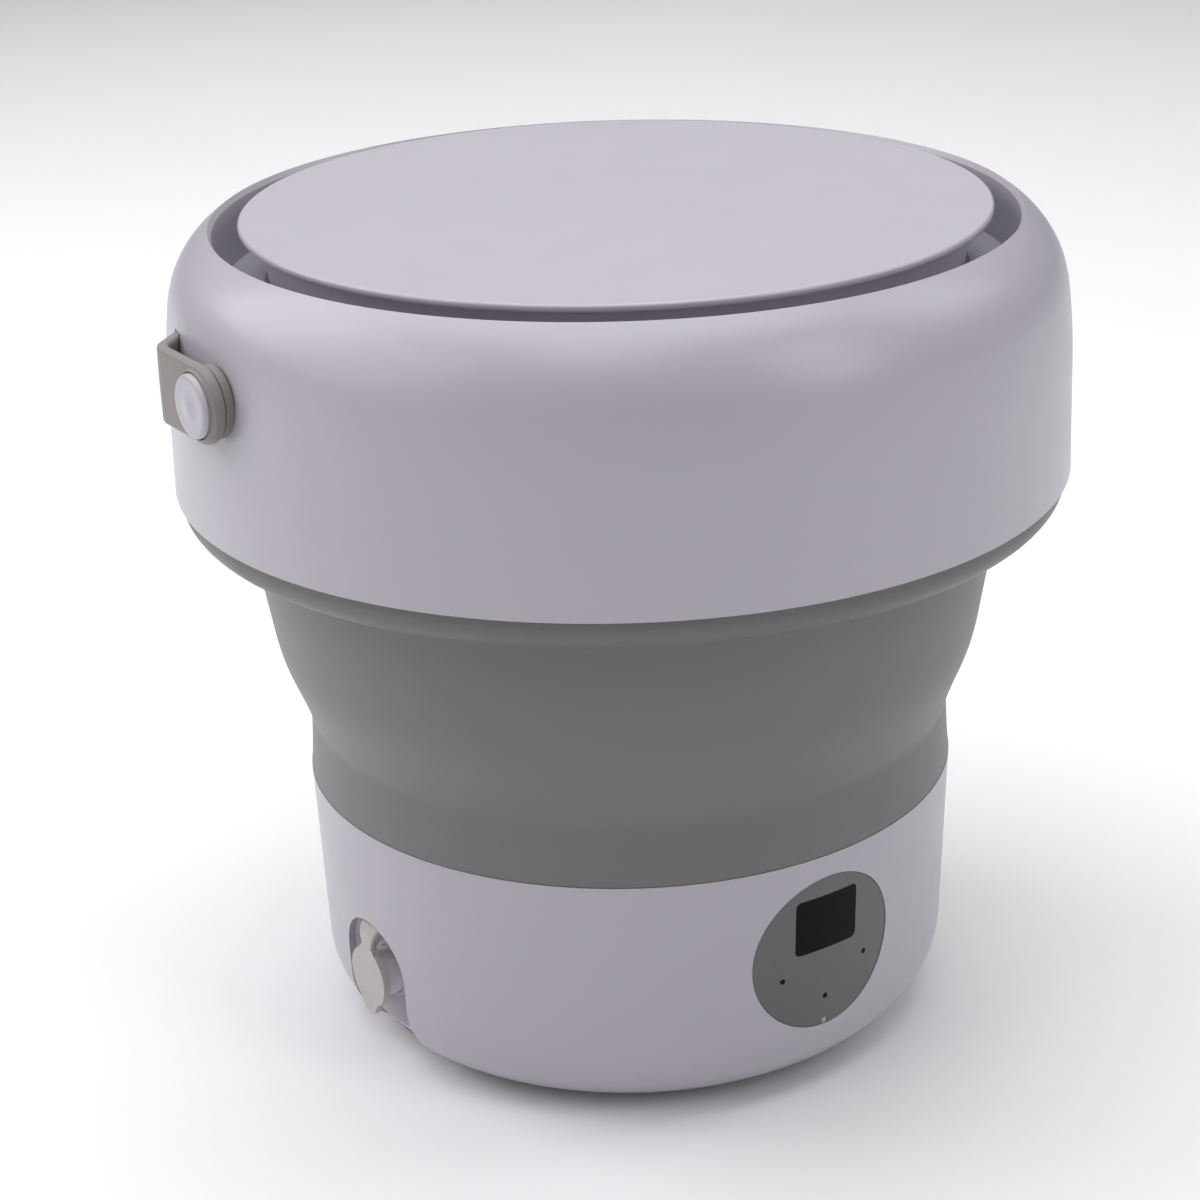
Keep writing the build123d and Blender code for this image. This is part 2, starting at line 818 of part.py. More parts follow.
# Base shell, with its round place for the curved panel, its arch for the drain and its inlet
panel_web_back = panel_edge - panel_depth - panel_web
arch_height = niche_crown - niche_half_width
tub_radius = bellows_skirt_radius - bellows_wall - fit_gap
tub_top = base_height - tub_lip_drop
tub_corner_radius = base_top_radius - tub_corner_inset
tub_corner_height = tub_floor_height + tub_corner_rise
inlet_face = base_radius_at(jack_height) - jack_seat_depth
inlet_inside = base_radius_at(jack_height) - base_wall - jack_seat_depth
rear = Plane(origin=(0, 0, 0), x_dir=(-1, 0, 0), z_dir=(0, 1, 0))


def arch(half_width, foot):
    # Outline of the drain's arch, seen along X, grown evenly from the opening's.
    with BuildSketch(Plane.YZ) as outline:
        with Locations((drain_side, arch_height)):
            Circle(half_width)
        with Locations((drain_side, (arch_height + foot) / 2)):
            Rectangle(2 * half_width, arch_height - foot)
    return outline.sketch


def face_layer(outline, front, back):
    # What lies between two depths under the base's surface, inside an outline seen from the front.
    with BuildPart() as body:
        extrude(outline, amount=base_top_radius + base_wall)
        add(base_side(front), mode=Mode.INTERSECT)
        add(base_side(back), mode=Mode.SUBTRACT)
    return body.part


window_place = (0, panel_height + window_rise)
indicator_places = [
    (-indicator_side, panel_height - indicator_drop),
    (indicator_side, panel_height - indicator_drop),
    (0, panel_height - indicator_low),
]
board_screw_side = display_board_width / 2 - board_edge
board_screw_rise = display_board_height / 2 - board_edge
board_screw_places = [
    (side * board_screw_side, panel_height + rise * board_screw_rise)
    for side in (-1, 1)
    for rise in (-1, 1)
]

with BuildPart() as base_shell:
    add(base_side(0))
    add(base_side(base_wall), mode=Mode.SUBTRACT)
    with BuildSketch(Plane.XY.offset(foot_height)):
        Circle(base_opening_radius)
    extrude(amount=base_wall, mode=Mode.SUBTRACT)
    # The arch reaches down through the round.
    extrude(arch(niche_half_width, niche_foot), amount=-(base_top_radius + base_wall), mode=Mode.SUBTRACT)
    # Place for the panel: a thickened disc with a flat back, and a pocket of the panel's depth.
    with BuildSketch(Plane.XZ.offset(panel_web_back)):
        with Locations((0, panel_height)):
            Circle(panel_radius + fit_gap + panel_border)
    extrude(amount=base_top_radius - panel_web_back)
    add(base_side(0), mode=Mode.INTERSECT)
    # The web keeps clear of the tub's side.
    tub_side = [
        (0, tub_corner_height),
        (tub_corner_radius + fit_gap, tub_corner_height),
        (tub_radius + fit_gap, tub_top - tub_straight),
        (tub_radius + fit_gap, base_height),
        (0, base_height),
    ]
    revolve(polygon(tub_side), axis=Axis.Z, mode=Mode.SUBTRACT)
    with BuildSketch(Plane.XZ, mode=Mode.PRIVATE) as pocket:
        with Locations((0, panel_height)):
            Circle(panel_radius + fit_gap)
    add(face_layer(pocket.sketch, 0, panel_depth), mode=Mode.SUBTRACT)
    with BuildSketch(Plane.XZ, mode=Mode.PRIVATE) as key:
        with Locations((0, panel_height - panel_radius + key_width / 2)):
            Rectangle(key_width - fit_gap, key_width)
    add(face_layer(key.sketch, panel_recess + fit_gap, panel_depth))
    # Openings in the web behind the panel.
    with BuildSketch(Plane.XZ.offset(panel_web_back)):
        with Locations(window_place):
            RectangleRounded(window_width - window_lap, window_height - window_lap, window_round)
        with Locations(*indicator_places):
            Circle(contact_radius + fit_gap)
        with Locations(*board_screw_places):
            Circle(screw_radius)
    extrude(amount=base_top_radius - panel_web_back, mode=Mode.SUBTRACT)
    # Seat and hole for the power inlet.
    with BuildSketch(rear.offset(inlet_inside)):
        with Locations((0, jack_height)):
            Circle(jack_flange_radius + base_wall)
    extrude(amount=inlet_face - inlet_inside)
    with BuildSketch(rear.offset(inlet_face)):
        with Locations((0, jack_height)):
            Circle(jack_flange_radius + fit_gap)
    extrude(amount=2 * base_wall, mode=Mode.SUBTRACT)
    with BuildSketch(rear.offset(inlet_inside - base_wall)):
        with Locations((0, jack_height)):
            Circle(jack_radius + fit_gap)
    extrude(amount=4 * base_wall, mode=Mode.SUBTRACT)
finish(base_shell, "base_shell")

# Bottom cover with its feet, screws and standoffs
tub_leg_circle = base_opening_radius - tub_leg_inset
leg_places = [
    (
        tub_leg_circle * cos(radians(tub_leg_angle + 90 * step)),
        tub_leg_circle * sin(radians(tub_leg_angle + 90 * step)),
    )
    for step in range(4)
]
driver_screw_side = driver_board_width / 2 - board_edge
driver_screw_depth = driver_board_depth / 2 - board_edge
driver_screw_places = [
    (side * driver_screw_side, driver_board_place + depth * driver_screw_depth)
    for side in (-1, 1)
    for depth in (-1, 1)
]

with BuildPart() as bottom_cover:
    revolve(band(0, base_opening_radius - fit_gap, foot_height, cover_top), axis=Axis.Z)
    revolve(band(0, base_opening_radius + cover_flange, cover_top, cover_flange_top), axis=Axis.Z)
    with BuildSketch(Plane.XY.offset(cover_flange_top)):
        with Locations(*driver_screw_places):
            Circle(standoff_radius)
            Circle(driver_screw_radius + trim_gap, mode=Mode.SUBTRACT)
    extrude(amount=driver_board_height - cover_flange_top)
    with BuildSketch(Plane.XY.offset(foot_height)):
        with PolarLocations(foot_circle, 4):
            Circle(foot_radius + fit_gap / 2)
        with Locations(*leg_places):
            Circle(leg_head_radius + fit_gap)
    extrude(amount=foot_recess, mode=Mode.SUBTRACT)
    with BuildSketch(Plane.XY.offset(foot_height)):
        with Locations(*leg_places):
            Circle(screw_radius + screw_gap)
    extrude(amount=cover_flange_top, mode=Mode.SUBTRACT)
finish(bottom_cover, "bottom_cover")

with BuildPart() as feet:
    with BuildSketch(Plane.XY):
        with PolarLocations(foot_circle, 4):
            Circle(foot_radius)
    extrude(amount=foot_height + foot_recess)
    chamfer(feet.edges().group_by(Axis.Z)[0], foot_chamfer)
finish(feet, "feet")

with BuildPart() as bottom_screws:
    with BuildSketch(Plane.XY.offset(foot_height + foot_recess - leg_head_height)):
        with Locations(*leg_places):
            Circle(leg_head_radius)
    extrude(amount=leg_head_height)
    with BuildSketch(Plane.XY.offset(foot_height + foot_recess)):
        with Locations(*leg_places):
            Circle(screw_radius)
    extrude(amount=bottom_screw_length)
finish(bottom_screws, "bottom_screws")

# Lower tub: a bowl on four legs, with the drain outlet and the motor's posts
tub_floor_radius = base_top_radius - tub_floor_inset
outlet_distance = tub_floor_radius - outlet_inset
housing_seat = tub_underside
housing_bore = bearing_radius + running_gap
post_foot = bracket_height + bracket_thickness + grommet_height
post_places = [(motor_offset, side * bracket_reach) for side in (-1, 1)]
outlet_place = (-outlet_distance, drain_side)
outlet_foot = tub_underside - outlet_drop
housing_screw_places = [
    (
        housing_screw_circle * cos(radians(60 + 120 * step)),
        housing_screw_circle * sin(radians(60 + 120 * step)),
    )
    for step in range(3)
]
housing_post_foot = housing_flange_height + housing_flange_thickness
hub_bore = shaft_radius + fit_gap

with BuildPart() as tub_bowl:
    bowl_outline = [
        (0, tub_underside),
        (tub_floor_radius, tub_underside),
        (tub_corner_radius, tub_corner_height),
        (tub_radius, tub_top - tub_straight),
        (tub_radius, tub_top),
        (tub_radius - tub_wall, tub_top),
        (tub_radius - tub_wall, tub_top - tub_straight),
        (tub_corner_radius - tub_wall, tub_corner_height + tub_wall / 2),
        (tub_floor_radius - tub_wall / 2, tub_floor_height),
        (0, tub_floor_height),
    ]
    revolve(polygon(bowl_outline), axis=Axis.Z)
    with BuildSketch(Plane.XY.offset(cover_flange_top)):
        with Locations(*leg_places):
            Circle(tub_leg_radius)
            Circle(screw_radius + trim_gap, mode=Mode.SUBTRACT)
    extrude(amount=tub_underside - cover_flange_top)
    with BuildSketch(Plane.XY.offset(post_foot)):
        with Locations(*post_places):
            Circle(motor_post_radius)
            Circle(screw_radius + trim_gap, mode=Mode.SUBTRACT)
    extrude(amount=tub_underside - post_foot)
    with BuildSketch(Plane.XY.offset(housing_post_foot)):
        with Locations(*housing_screw_places):
            Circle(housing_post_radius)
            Circle(screw_radius + trim_gap, mode=Mode.SUBTRACT)
    extrude(amount=tub_underside - housing_post_foot)
    with BuildSketch(Plane.XY.offset(outlet_foot)):
        with Locations(outlet_place):
            Circle(hose_bore - fit_gap / 2)
    extrude(amount=tub_underside - outlet_foot)
    with BuildSketch(Plane.XY.offset(outlet_foot)):
        with Locations(outlet_place):
            Circle(outlet_bore)
        Circle(hub_bore)
    extrude(amount=tub_floor_height - outlet_foot, mode=Mode.SUBTRACT)
    with BuildSketch(Plane.XY.offset(tub_floor_height - strainer_thickness)):
        with Locations(outlet_place):
            Circle(strainer_radius + snug_gap)
    extrude(amount=strainer_thickness, mode=Mode.SUBTRACT)
finish(tub_bowl, "tub_bowl")

with BuildPart() as drain_strainer:
    with BuildSketch(Plane.XY.offset(tub_floor_height - strainer_thickness)):
        with Locations(outlet_place):
            Circle(strainer_radius)
            for ring in (1, 2):
                with PolarLocations(ring * strainer_ring_step, 5 * ring):
                    Circle(strainer_hole_radius, mode=Mode.SUBTRACT)
    extrude(amount=strainer_thickness)
finish(drain_strainer, "drain_strainer")

with BuildPart() as lower_clamp_ring:
    ring_low = bellows_foot + bellows_wall + fit_gap / 2
    ring_inner = tub_radius - tub_wall
    ring_outline = [
        (ring_inner, tub_top + fit_gap / 2),
        (tub_radius, tub_top + fit_gap / 2),
        (tub_radius, ring_low),
        (bellows_foot_radius - bellows_wall - fit_gap, ring_low),
        (bellows_foot_radius - bellows_wall - 2 * fit_gap, ring_low + clamp_thickness),
        (ring_inner, ring_low + clamp_thickness),
    ]
    revolve(polygon(ring_outline), axis=Axis.Z)
finish(lower_clamp_ring, "lower_clamp_ring")

# Bearing housing with its bearings, seal and screws
lower_bearing_top = housing_foot + bearing_thickness
upper_bearing_top = housing_seat - seal_thickness
upper_bearing_low = upper_bearing_top - bearing_thickness
with BuildPart() as bearing_housing:
    housing_outer = bearing_radius + housing_wall
    revolve(band(bearing_radius - housing_shoulder, housing_outer, housing_foot, housing_seat), axis=Axis.Z)
    with BuildSketch(Plane.XY.offset(housing_flange_height)):
        Circle(housing_flange_radius)
        Circle(bearing_radius - housing_shoulder, mode=Mode.SUBTRACT)
    extrude(amount=housing_flange_thickness)
    revolve(band(0, housing_bore, housing_foot, lower_bearing_top), axis=Axis.Z, mode=Mode.SUBTRACT)
    revolve(band(0, housing_bore, upper_bearing_low, housing_seat), axis=Axis.Z, mode=Mode.SUBTRACT)
    with BuildSketch(Plane.XY.offset(housing_flange_height)):
        with Locations(*housing_screw_places):
            Circle(screw_radius + screw_gap)
    extrude(amount=housing_flange_thickness, mode=Mode.SUBTRACT)
finish(bearing_housing, "bearing_housing")

with BuildPart() as housing_screws:
    with BuildSketch(Plane.XY.offset(housing_flange_height - screw_head_height)):
        with Locations(*housing_screw_places):
            Circle(screw_radius * screw_head_ratio)
    extrude(amount=screw_head_height)
    with BuildSketch(Plane.XY.offset(housing_flange_height)):
        with Locations(*housing_screw_places):
            Circle(screw_radius)
    extrude(amount=housing_screw_length)
finish(housing_screws, "housing_screws")

bearing_bore = shaft_radius + running_gap
with BuildPart() as lower_bearing:
    revolve(band(bearing_bore, bearing_radius, housing_foot, lower_bearing_top), axis=Axis.Z)
finish(lower_bearing, "lower_bearing")

with BuildPart() as upper_bearing:
    revolve(band(bearing_bore, bearing_radius, upper_bearing_low, upper_bearing_top), axis=Axis.Z)
finish(upper_bearing, "upper_bearing")

with BuildPart() as shaft_seal:
    revolve(band(bearing_bore, bearing_radius, upper_bearing_top, housing_seat), axis=Axis.Z)
finish(shaft_seal, "shaft_seal")

# Drive shaft, its pulley and clip, and the pulsator
pulsator_low = tub_floor_height + pulsator_gap
pulsator_hub_top = pulsator_low + pulsator_dome
shaft_top = pulsator_hub_top - shaft_drop
with BuildPart() as drive_shaft:
    revolve(band(0, shaft_radius, shaft_foot, shaft_top), axis=Axis.Z)
    thread = band(0, screw_radius + trim_gap, shaft_top - shaft_thread_depth, shaft_top)
    revolve(thread, axis=Axis.Z, mode=Mode.SUBTRACT)
finish(drive_shaft, "drive_shaft")


def pulley_section(groove, hub, bore):
    # A flanged pulley with a thin web: grooved rim, web and hub.
    lip = (pulley_width - belt_width) / 2 - fit_gap
    middle = pulley_low + pulley_width / 2
    rim_inner = groove - pulley_rim
    return polygon(
        [
            (bore, pulley_low),
            (hub, pulley_low),
            (hub, middle - pulley_web / 2),
            (rim_inner, middle - pulley_web / 2),
            (rim_inner, pulley_low),
            (groove + pulley_rim, pulley_low),
            (groove + pulley_rim, pulley_low + lip),
            (groove, pulley_low + lip),
            (groove, pulley_top - lip),
            (groove + pulley_rim, pulley_top - lip),
            (groove + pulley_rim, pulley_top),
            (rim_inner, pulley_top),
            (rim_inner, middle + pulley_web / 2),
            (hub, middle + pulley_web / 2),
            (hub, pulley_top),
            (bore, pulley_top),
        ]
    )


with BuildPart() as driven_pulley:
    revolve(pulley_section(pulley_groove_radius, pulley_hub_radius, shaft_radius + press_gap), axis=Axis.Z)
    with BuildSketch(Plane.XY.offset(pulley_low)):
        with PolarLocations((pulley_hub_radius + pulley_groove_radius - pulley_rim) / 2, pulley_holes):
            Circle(pulley_hole_radius)
    extrude(amount=pulley_width, mode=Mode.SUBTRACT)
finish(driven_pulley, "driven_pulley")

with BuildPart() as pulley_clip:
    clip_top = pulley_low - snug_gap
    clip_low = clip_top - clip_thickness
    revolve(band(shaft_radius + press_gap, shaft_radius + clip_width, clip_low, clip_top), axis=Axis.Z)
finish(pulley_clip, "pulley_clip")

with BuildPart() as pulsator:
    dome_foot = pulsator_low + pulsator_plate
    with BuildSketch(Plane.XZ):
        with BuildLine():
            rim = (pulsator_radius, pulsator_low)
            rim_top = (pulsator_radius, pulsator_low + pulsator_rim)
            waist = (pulsator_dome_radius, dome_foot)
            peak = (dome_peak_radius, pulsator_hub_top)
            shoulder = (dome_shoulder[0], dome_foot + dome_shoulder[1])
            Polyline((0, pulsator_low), rim, rim_top)
            Line(rim_top, waist)
            Spline(waist, shoulder, peak, tangents=[(-1, 0.4), (-1, 0.2)])
            Polyline(peak, (0, pulsator_hub_top), (0, pulsator_low))
        make_face()
    revolve(axis=Axis.Z)
    blade_reach = pulsator_radius - blade_edge
    with BuildSketch(Plane.XY.offset(pulsator_low)):
        with PolarLocations(blade_reach / 2, pulsator_blades):
            SlotOverall(blade_reach, blade_width)
    extrude(amount=blade_height, taper=blade_draft)
    with BuildSketch(Plane.XY.offset(pulsator_low)):
        with PolarLocations(pulsator_hole_circle, 4 * pulsator_blades, 360 / (8 * pulsator_blades)):
            Circle(pulsator_hole_radius)
    extrude(amount=pulsator_plate * 2, mode=Mode.SUBTRACT)
    revolve(band(0, shaft_radius + press_gap, pulsator_low, shaft_top), axis=Axis.Z, mode=Mode.SUBTRACT)
    revolve(band(0, screw_radius + screw_gap, shaft_top, pulsator_hub_top), axis=Axis.Z, mode=Mode.SUBTRACT)
    screw_seat = pulsator_hub_top - pulsator_screw_head_height - fit_gap
    head_room = band(0, pulsator_screw_head + fit_gap, screw_seat, pulsator_hub_top)
    revolve(head_room, axis=Axis.Z, mode=Mode.SUBTRACT)
finish(pulsator, "pulsator")

with BuildPart() as pulsator_screw:
    screw_head_top = screw_seat + pulsator_screw_head_height
    revolve(band(0, pulsator_screw_head, screw_seat, screw_head_top), axis=Axis.Z)
    revolve(band(0, screw_radius, screw_seat - pulsator_screw_length, screw_seat), axis=Axis.Z)
finish(pulsator_screw, "pulsator_screw")

# Motor on its bracket, with the small pulley and the belt
motor_shaft_bore = motor_shaft_radius + running_gap
with BuildPart() as motor_body:
    with BuildSketch(Plane.XY.offset(bracket_top)):
        with Locations((motor_offset, 0)):
            Circle(motor_radius)
    extrude(amount=motor_length)
    fillet(motor_body.edges().group_by(Axis.Z)[-1], motor_round)
    with BuildSketch(Plane.XY.offset(bracket_height - motor_boss_drop)):
        with Locations((motor_offset, 0)):
            Circle(motor_boss_radius)
    extrude(amount=bracket_thickness + motor_boss_drop)
    with BuildSketch(Plane.XY.offset(bracket_height - motor_boss_drop)):
        with Locations((motor_offset, 0)):
            Circle(motor_shaft_bore)
    extrude(amount=motor_bore_depth, mode=Mode.SUBTRACT)
finish(motor_body, "motor_body")

with BuildPart() as motor_bracket:
    with BuildSketch(Plane.XY.offset(bracket_height)):
        with Locations((motor_offset, 0)):
            end_radius = grommet_radius + bracket_edge
            SlotOverall(2 * (bracket_reach + end_radius), 2 * end_radius, rotation=90)
            Circle(bracket_plate_radius)
            Circle(motor_boss_radius + snug_gap, mode=Mode.SUBTRACT)
        with Locations(*post_places):
            Circle(screw_radius + screw_gap, mode=Mode.SUBTRACT)
    extrude(amount=bracket_thickness)
finish(motor_bracket, "motor_bracket")

with BuildPart() as motor_grommets:
    with BuildSketch(Plane.XY.offset(bracket_top)):
        with Locations(*post_places):
            Circle(grommet_radius)
            Circle(screw_radius + screw_gap, mode=Mode.SUBTRACT)
    extrude(amount=grommet_height)
finish(motor_grommets, "motor_grommets")

with BuildPart() as motor_screws:
    with BuildSketch(Plane.XY.offset(bracket_height - screw_head_height)):
        with Locations(*post_places):
            Circle(screw_radius * screw_head_ratio)
    extrude(amount=screw_head_height)
    with BuildSketch(Plane.XY.offset(bracket_height)):
        with Locations(*post_places):
            Circle(screw_radius)
    extrude(amount=motor_screw_length)
finish(motor_screws, "motor_screws")

with BuildPart() as motor_shaft:
    with BuildSketch(Plane.XY.offset(pulley_low)):
        with Locations((motor_offset, 0)):
            Circle(motor_shaft_radius)
    extrude(amount=bracket_height + motor_shaft_end - pulley_low)
finish(motor_shaft, "motor_shaft")

with BuildPart() as turned_motor_pulley:
    lip = (pulley_width - belt_width) / 2 - fit_gap
    bore = motor_shaft_radius + press_gap
    small_pulley = [
        (bore, pulley_low),
        (motor_groove_radius + pulley_rim, pulley_low),
        (motor_groove_radius + pulley_rim, pulley_low + lip),
        (motor_groove_radius, pulley_low + lip),
        (motor_groove_radius, pulley_top - lip),
        (motor_groove_radius + pulley_rim, pulley_top - lip),
        (motor_groove_radius + pulley_rim, pulley_top),
        (bore, pulley_top),
    ]
    revolve(polygon(small_pulley), axis=Axis.Z)
with BuildPart() as motor_pulley:
    add(turned_motor_pulley.part.moved(Location((motor_offset, 0, 0))))
finish(motor_pulley, "motor_pulley")


def belt_loop(clearance):
    # Outline of a belt lying that far out from both grooves.
    big = pulley_groove_radius + clearance
    small = motor_groove_radius + clearance
    lean = degrees(atan((big - small) / sqrt(motor_offset**2 - (big - small) ** 2)))
    tangent_turn = radians(90 - lean)
    touch = [
        (big * cos(tangent_turn), big * sin(tangent_turn)),
        (motor_offset + small * cos(tangent_turn), small * sin(tangent_turn)),
    ]
    with BuildSketch() as outline:
        Circle(big)
        with Locations((motor_offset, 0)):
            Circle(small)
        with BuildLine():
            mirrored = [(x, -y) for x, y in reversed(touch)]
            Polyline(*touch, *mirrored, close=True)
        make_face()
    return outline.sketch


with BuildPart() as drive_belt:
    belt_low = pulley_low + (pulley_width - belt_width) / 2
    extrude(Pos(0, 0, belt_low) * belt_loop(fit_gap + belt_thickness), amount=belt_width)
    extrude(Pos(0, 0, belt_low) * belt_loop(fit_gap), amount=belt_width, mode=Mode.SUBTRACT)
finish(drive_belt, "drive_belt")

# Drain: the cup behind the arch, the spout, its plug and tether, and the hose from the tub
cup_centre = -(niche_back + niche_half_width)
cup_seat = niche_back - niche_wall - spout_seat_depth


def cup_plan(half_width, low, high):
    # The cup's space seen from above, from the round back out past the shell.
    with BuildSketch(Plane.XY.offset(low)) as plan:
        with Locations((cup_centre, drain_side)):
            Circle(half_width)
        with Locations((cup_centre - base_top_radius / 2, drain_side)):
            Rectangle(base_top_radius, 2 * half_width)
    with BuildPart() as body:
        extrude(plan.sketch, amount=high - low)
    return body.part


def cup_space(half_width, floor, foot):
    # The part of the cup's plan that lies under the arch.
    with BuildPart() as body:
        add(cup_plan(half_width, floor, niche_crown + 2 * niche_wall))
        extrude(arch(half_width, foot), amount=-2 * base_top_radius, mode=Mode.INTERSECT)
    return body.part


with BuildPart() as drain_housing:
    add(cup_space(niche_half_width + niche_wall, niche_foot, niche_foot))
    add(drain_ring(tube(0, spout_flange_radius, cup_seat, niche_back + spout_seat_boss)))
    add(base_side(base_wall + fit_gap / 2), mode=Mode.INTERSECT)
    add(cup_space(niche_half_width, niche_floor, niche_floor), mode=Mode.SUBTRACT)
    add(drain_ring(tube(0, spout_radius + snug_gap, 0, spout_end)), mode=Mode.SUBTRACT)
finish(drain_housing, "drain_housing")

with BuildPart() as drain_spout:
    add(drain_ring(tube(0, spout_radius, cup_seat, spout_end)))
    add(drain_ring(tube(0, spout_flange_radius, cup_seat - spout_flange, cup_seat)))
    add(drain_ring(tube(0, hose_bore - fit_gap / 2, cup_seat - spout_flange - spigot_length, cup_seat)))
    add(drain_ring(tube(0, spout_bore, niche_back, spout_end)), mode=Mode.SUBTRACT)
    add(drain_ring(tube(0, outlet_bore, 0, spout_end)), mode=Mode.SUBTRACT)
finish(drain_spout, "drain_spout")

hose_start = (-(cup_seat - spout_flange - snug_gap), drain_side, drain_height)
with BuildPart() as drain_hose:
    with BuildLine():
        hose_path = FilletPolyline(
            hose_start,
            (-outlet_distance, drain_side, drain_height),
            (-outlet_distance, drain_side, tub_underside - snug_gap),
            radius=hose_bend,
        )
    with BuildSketch(Plane(origin=hose_start, z_dir=(1, 0, 0))):
        Circle(hose_radius)
        Circle(hose_bore, mode=Mode.SUBTRACT)
    sweep()
finish(drain_hose, "drain_hose")

plug_back = spout_end + fit_gap
plug_front = plug_back + plug_thickness
plug_top = plug_radius + plug_neck_reach
plug_foot = plug_radius + plug_tab_reach
side = Plane(origin=(-plug_back, drain_side, drain_height), x_dir=(0, -1, 0), z_dir=(-1, 0, 0))
with BuildPart() as drain_plug:
    with BuildSketch(side):
        Circle(plug_radius)
        with Locations((0, -(plug_foot - plug_tab_width / 2) / 2)):
            Rectangle(plug_tab_width, plug_foot - plug_tab_width / 2)
        with Locations((0, -(plug_foot - plug_tab_width / 2))):
            Circle(plug_tab_width / 2)
        with Locations((0, plug_top / 2)):
            Rectangle(tether_width, plug_top)
    extrude(amount=plug_thickness)
    fillet(drain_plug.edges().filter_by(Plane.YZ).group_by(Axis.X)[0], plug_round)
    add(drain_ring(tube(0, spout_bore - fit_gap, plug_back - plug_stem_length, plug_back)))
finish(drain_plug, "drain_plug")

tether_out = plug_front
tether_in = spout_end - tether_ring_back
tether_bend = (tether_out - tether_in + tether_thickness) / 2
with BuildPart() as drain_tether:
    tether_edge = (0, drain_side - tether_width / 2, drain_height)
    with BuildSketch(Plane(origin=tether_edge, x_dir=(-1, 0, 0), z_dir=(0, 1, 0))):
        bend_centre = ((tether_out + tether_in - tether_thickness) / 2, tether_rise - tether_bend)
        with Locations(bend_centre):
            Circle(tether_bend)
            Circle(tether_bend - tether_thickness, mode=Mode.SUBTRACT)
        with Locations((bend_centre[0], bend_centre[1] - tether_bend)):
            Rectangle(3 * tether_bend, 2 * tether_bend, mode=Mode.SUBTRACT)
        leg_foot = plug_top + fit_gap
        outer_leg = tether_out - tether_thickness / 2
        with Locations((outer_leg, (leg_foot + bend_centre[1]) / 2)):
            Rectangle(tether_thickness, bend_centre[1] - leg_foot)
        inner_leg = tether_in - tether_thickness / 2
        ring_top = spout_radius + tether_ring / 2
        with Locations((inner_leg, (ring_top + bend_centre[1]) / 2)):
            Rectangle(tether_thickness, bend_centre[1] - ring_top)
    extrude(amount=tether_width)
    ring_bore = spout_radius + fit_gap
    add(drain_ring(tube(ring_bore, ring_bore + tether_ring, tether_in - tether_thickness, tether_in)))
    add(drain_ring(tube(0, ring_bore, 0, tether_in + fit_gap)), mode=Mode.SUBTRACT)
finish(drain_tether, "drain_tether")

# Control panel and the boards
with BuildSketch(Plane.XZ) as panel_outline:
    with Locations((0, panel_height)):
        Circle(panel_radius)
    with Locations((0, panel_height - panel_radius + key_width / 2)):
        Rectangle(key_width, key_width, mode=Mode.SUBTRACT)
    with Locations((0, panel_height - panel_radius)):
        Rectangle(key_width, key_width, mode=Mode.SUBTRACT)
    with Locations(window_place):
        RectangleRounded(window_width, window_height, window_round, mode=Mode.SUBTRACT)
    with Locations(*indicator_places):
        Circle(indicator_radius, mode=Mode.SUBTRACT)
with BuildPart() as control_panel:
    add(face_layer(panel_outline.sketch, panel_recess, panel_depth))
finish(control_panel, "control_panel")

with BuildSketch(Plane.XZ) as window_outline:
    with Locations(window_place):
        RectangleRounded(window_width - snug_gap, window_height - snug_gap, window_round)
with BuildPart() as display_window:
    add(face_layer(window_outline.sketch, panel_recess + snug_gap, panel_depth))
finish(display_window, "display_window")

with BuildSketch(Plane.XZ) as lens_outline:
    with Locations(*indicator_places):
        Circle(indicator_radius - trim_gap)
with BuildPart() as indicator_lenses:
    add(face_layer(lens_outline.sketch, panel_recess + snug_gap, panel_depth))
finish(indicator_lenses, "indicator_lenses")

board_front = panel_web_back - board_gap
board_back = board_front - board_thickness
with BuildPart() as display_board:
    with BuildSketch(Plane.XZ.offset(board_back)):
        with Locations((0, panel_height)):
            RectangleRounded(display_board_width, display_board_height, board_corner)
        with Locations(*board_screw_places):
            Circle(screw_radius + snug_gap, mode=Mode.SUBTRACT)
    extrude(amount=board_thickness)
finish(display_board, "display_board")

with BuildPart() as display_module:
    with BuildSketch(Plane.XZ.offset(board_front)):
        with Locations(window_place):
            Rectangle(module_width, module_height)
    extrude(amount=base_top_radius - board_front)
    add(base_side(panel_depth + snug_gap), mode=Mode.INTERSECT)
finish(display_module, "display_module")

with BuildPart() as touch_contacts:
    with BuildSketch(Plane.XZ.offset(board_front)):
        with Locations(*indicator_places):
            Circle(contact_radius)
    extrude(amount=base_top_radius - board_front)
    add(base_side(panel_depth + snug_gap), mode=Mode.INTERSECT)
finish(touch_contacts, "touch_contacts")

with BuildPart() as board_screws:
    with BuildSketch(Plane.XZ.offset(board_back - screw_head_height)):
        with Locations(*board_screw_places):
            Circle(screw_radius * screw_head_ratio)
    extrude(amount=screw_head_height)
    with BuildSketch(Plane.XZ.offset(board_back)):
        with Locations(*board_screw_places):
            Circle(screw_radius - trim_gap)
    extrude(amount=board_thickness + board_gap + panel_web)
finish(board_screws, "board_screws")

with BuildPart() as board_spacers:
    with BuildSketch(Plane.XZ.offset(board_front)):
        with Locations(*board_screw_places):
            Circle(standoff_radius)
            Circle(screw_radius + snug_gap, mode=Mode.SUBTRACT)
    extrude(amount=board_gap)
finish(board_spacers, "board_spacers")

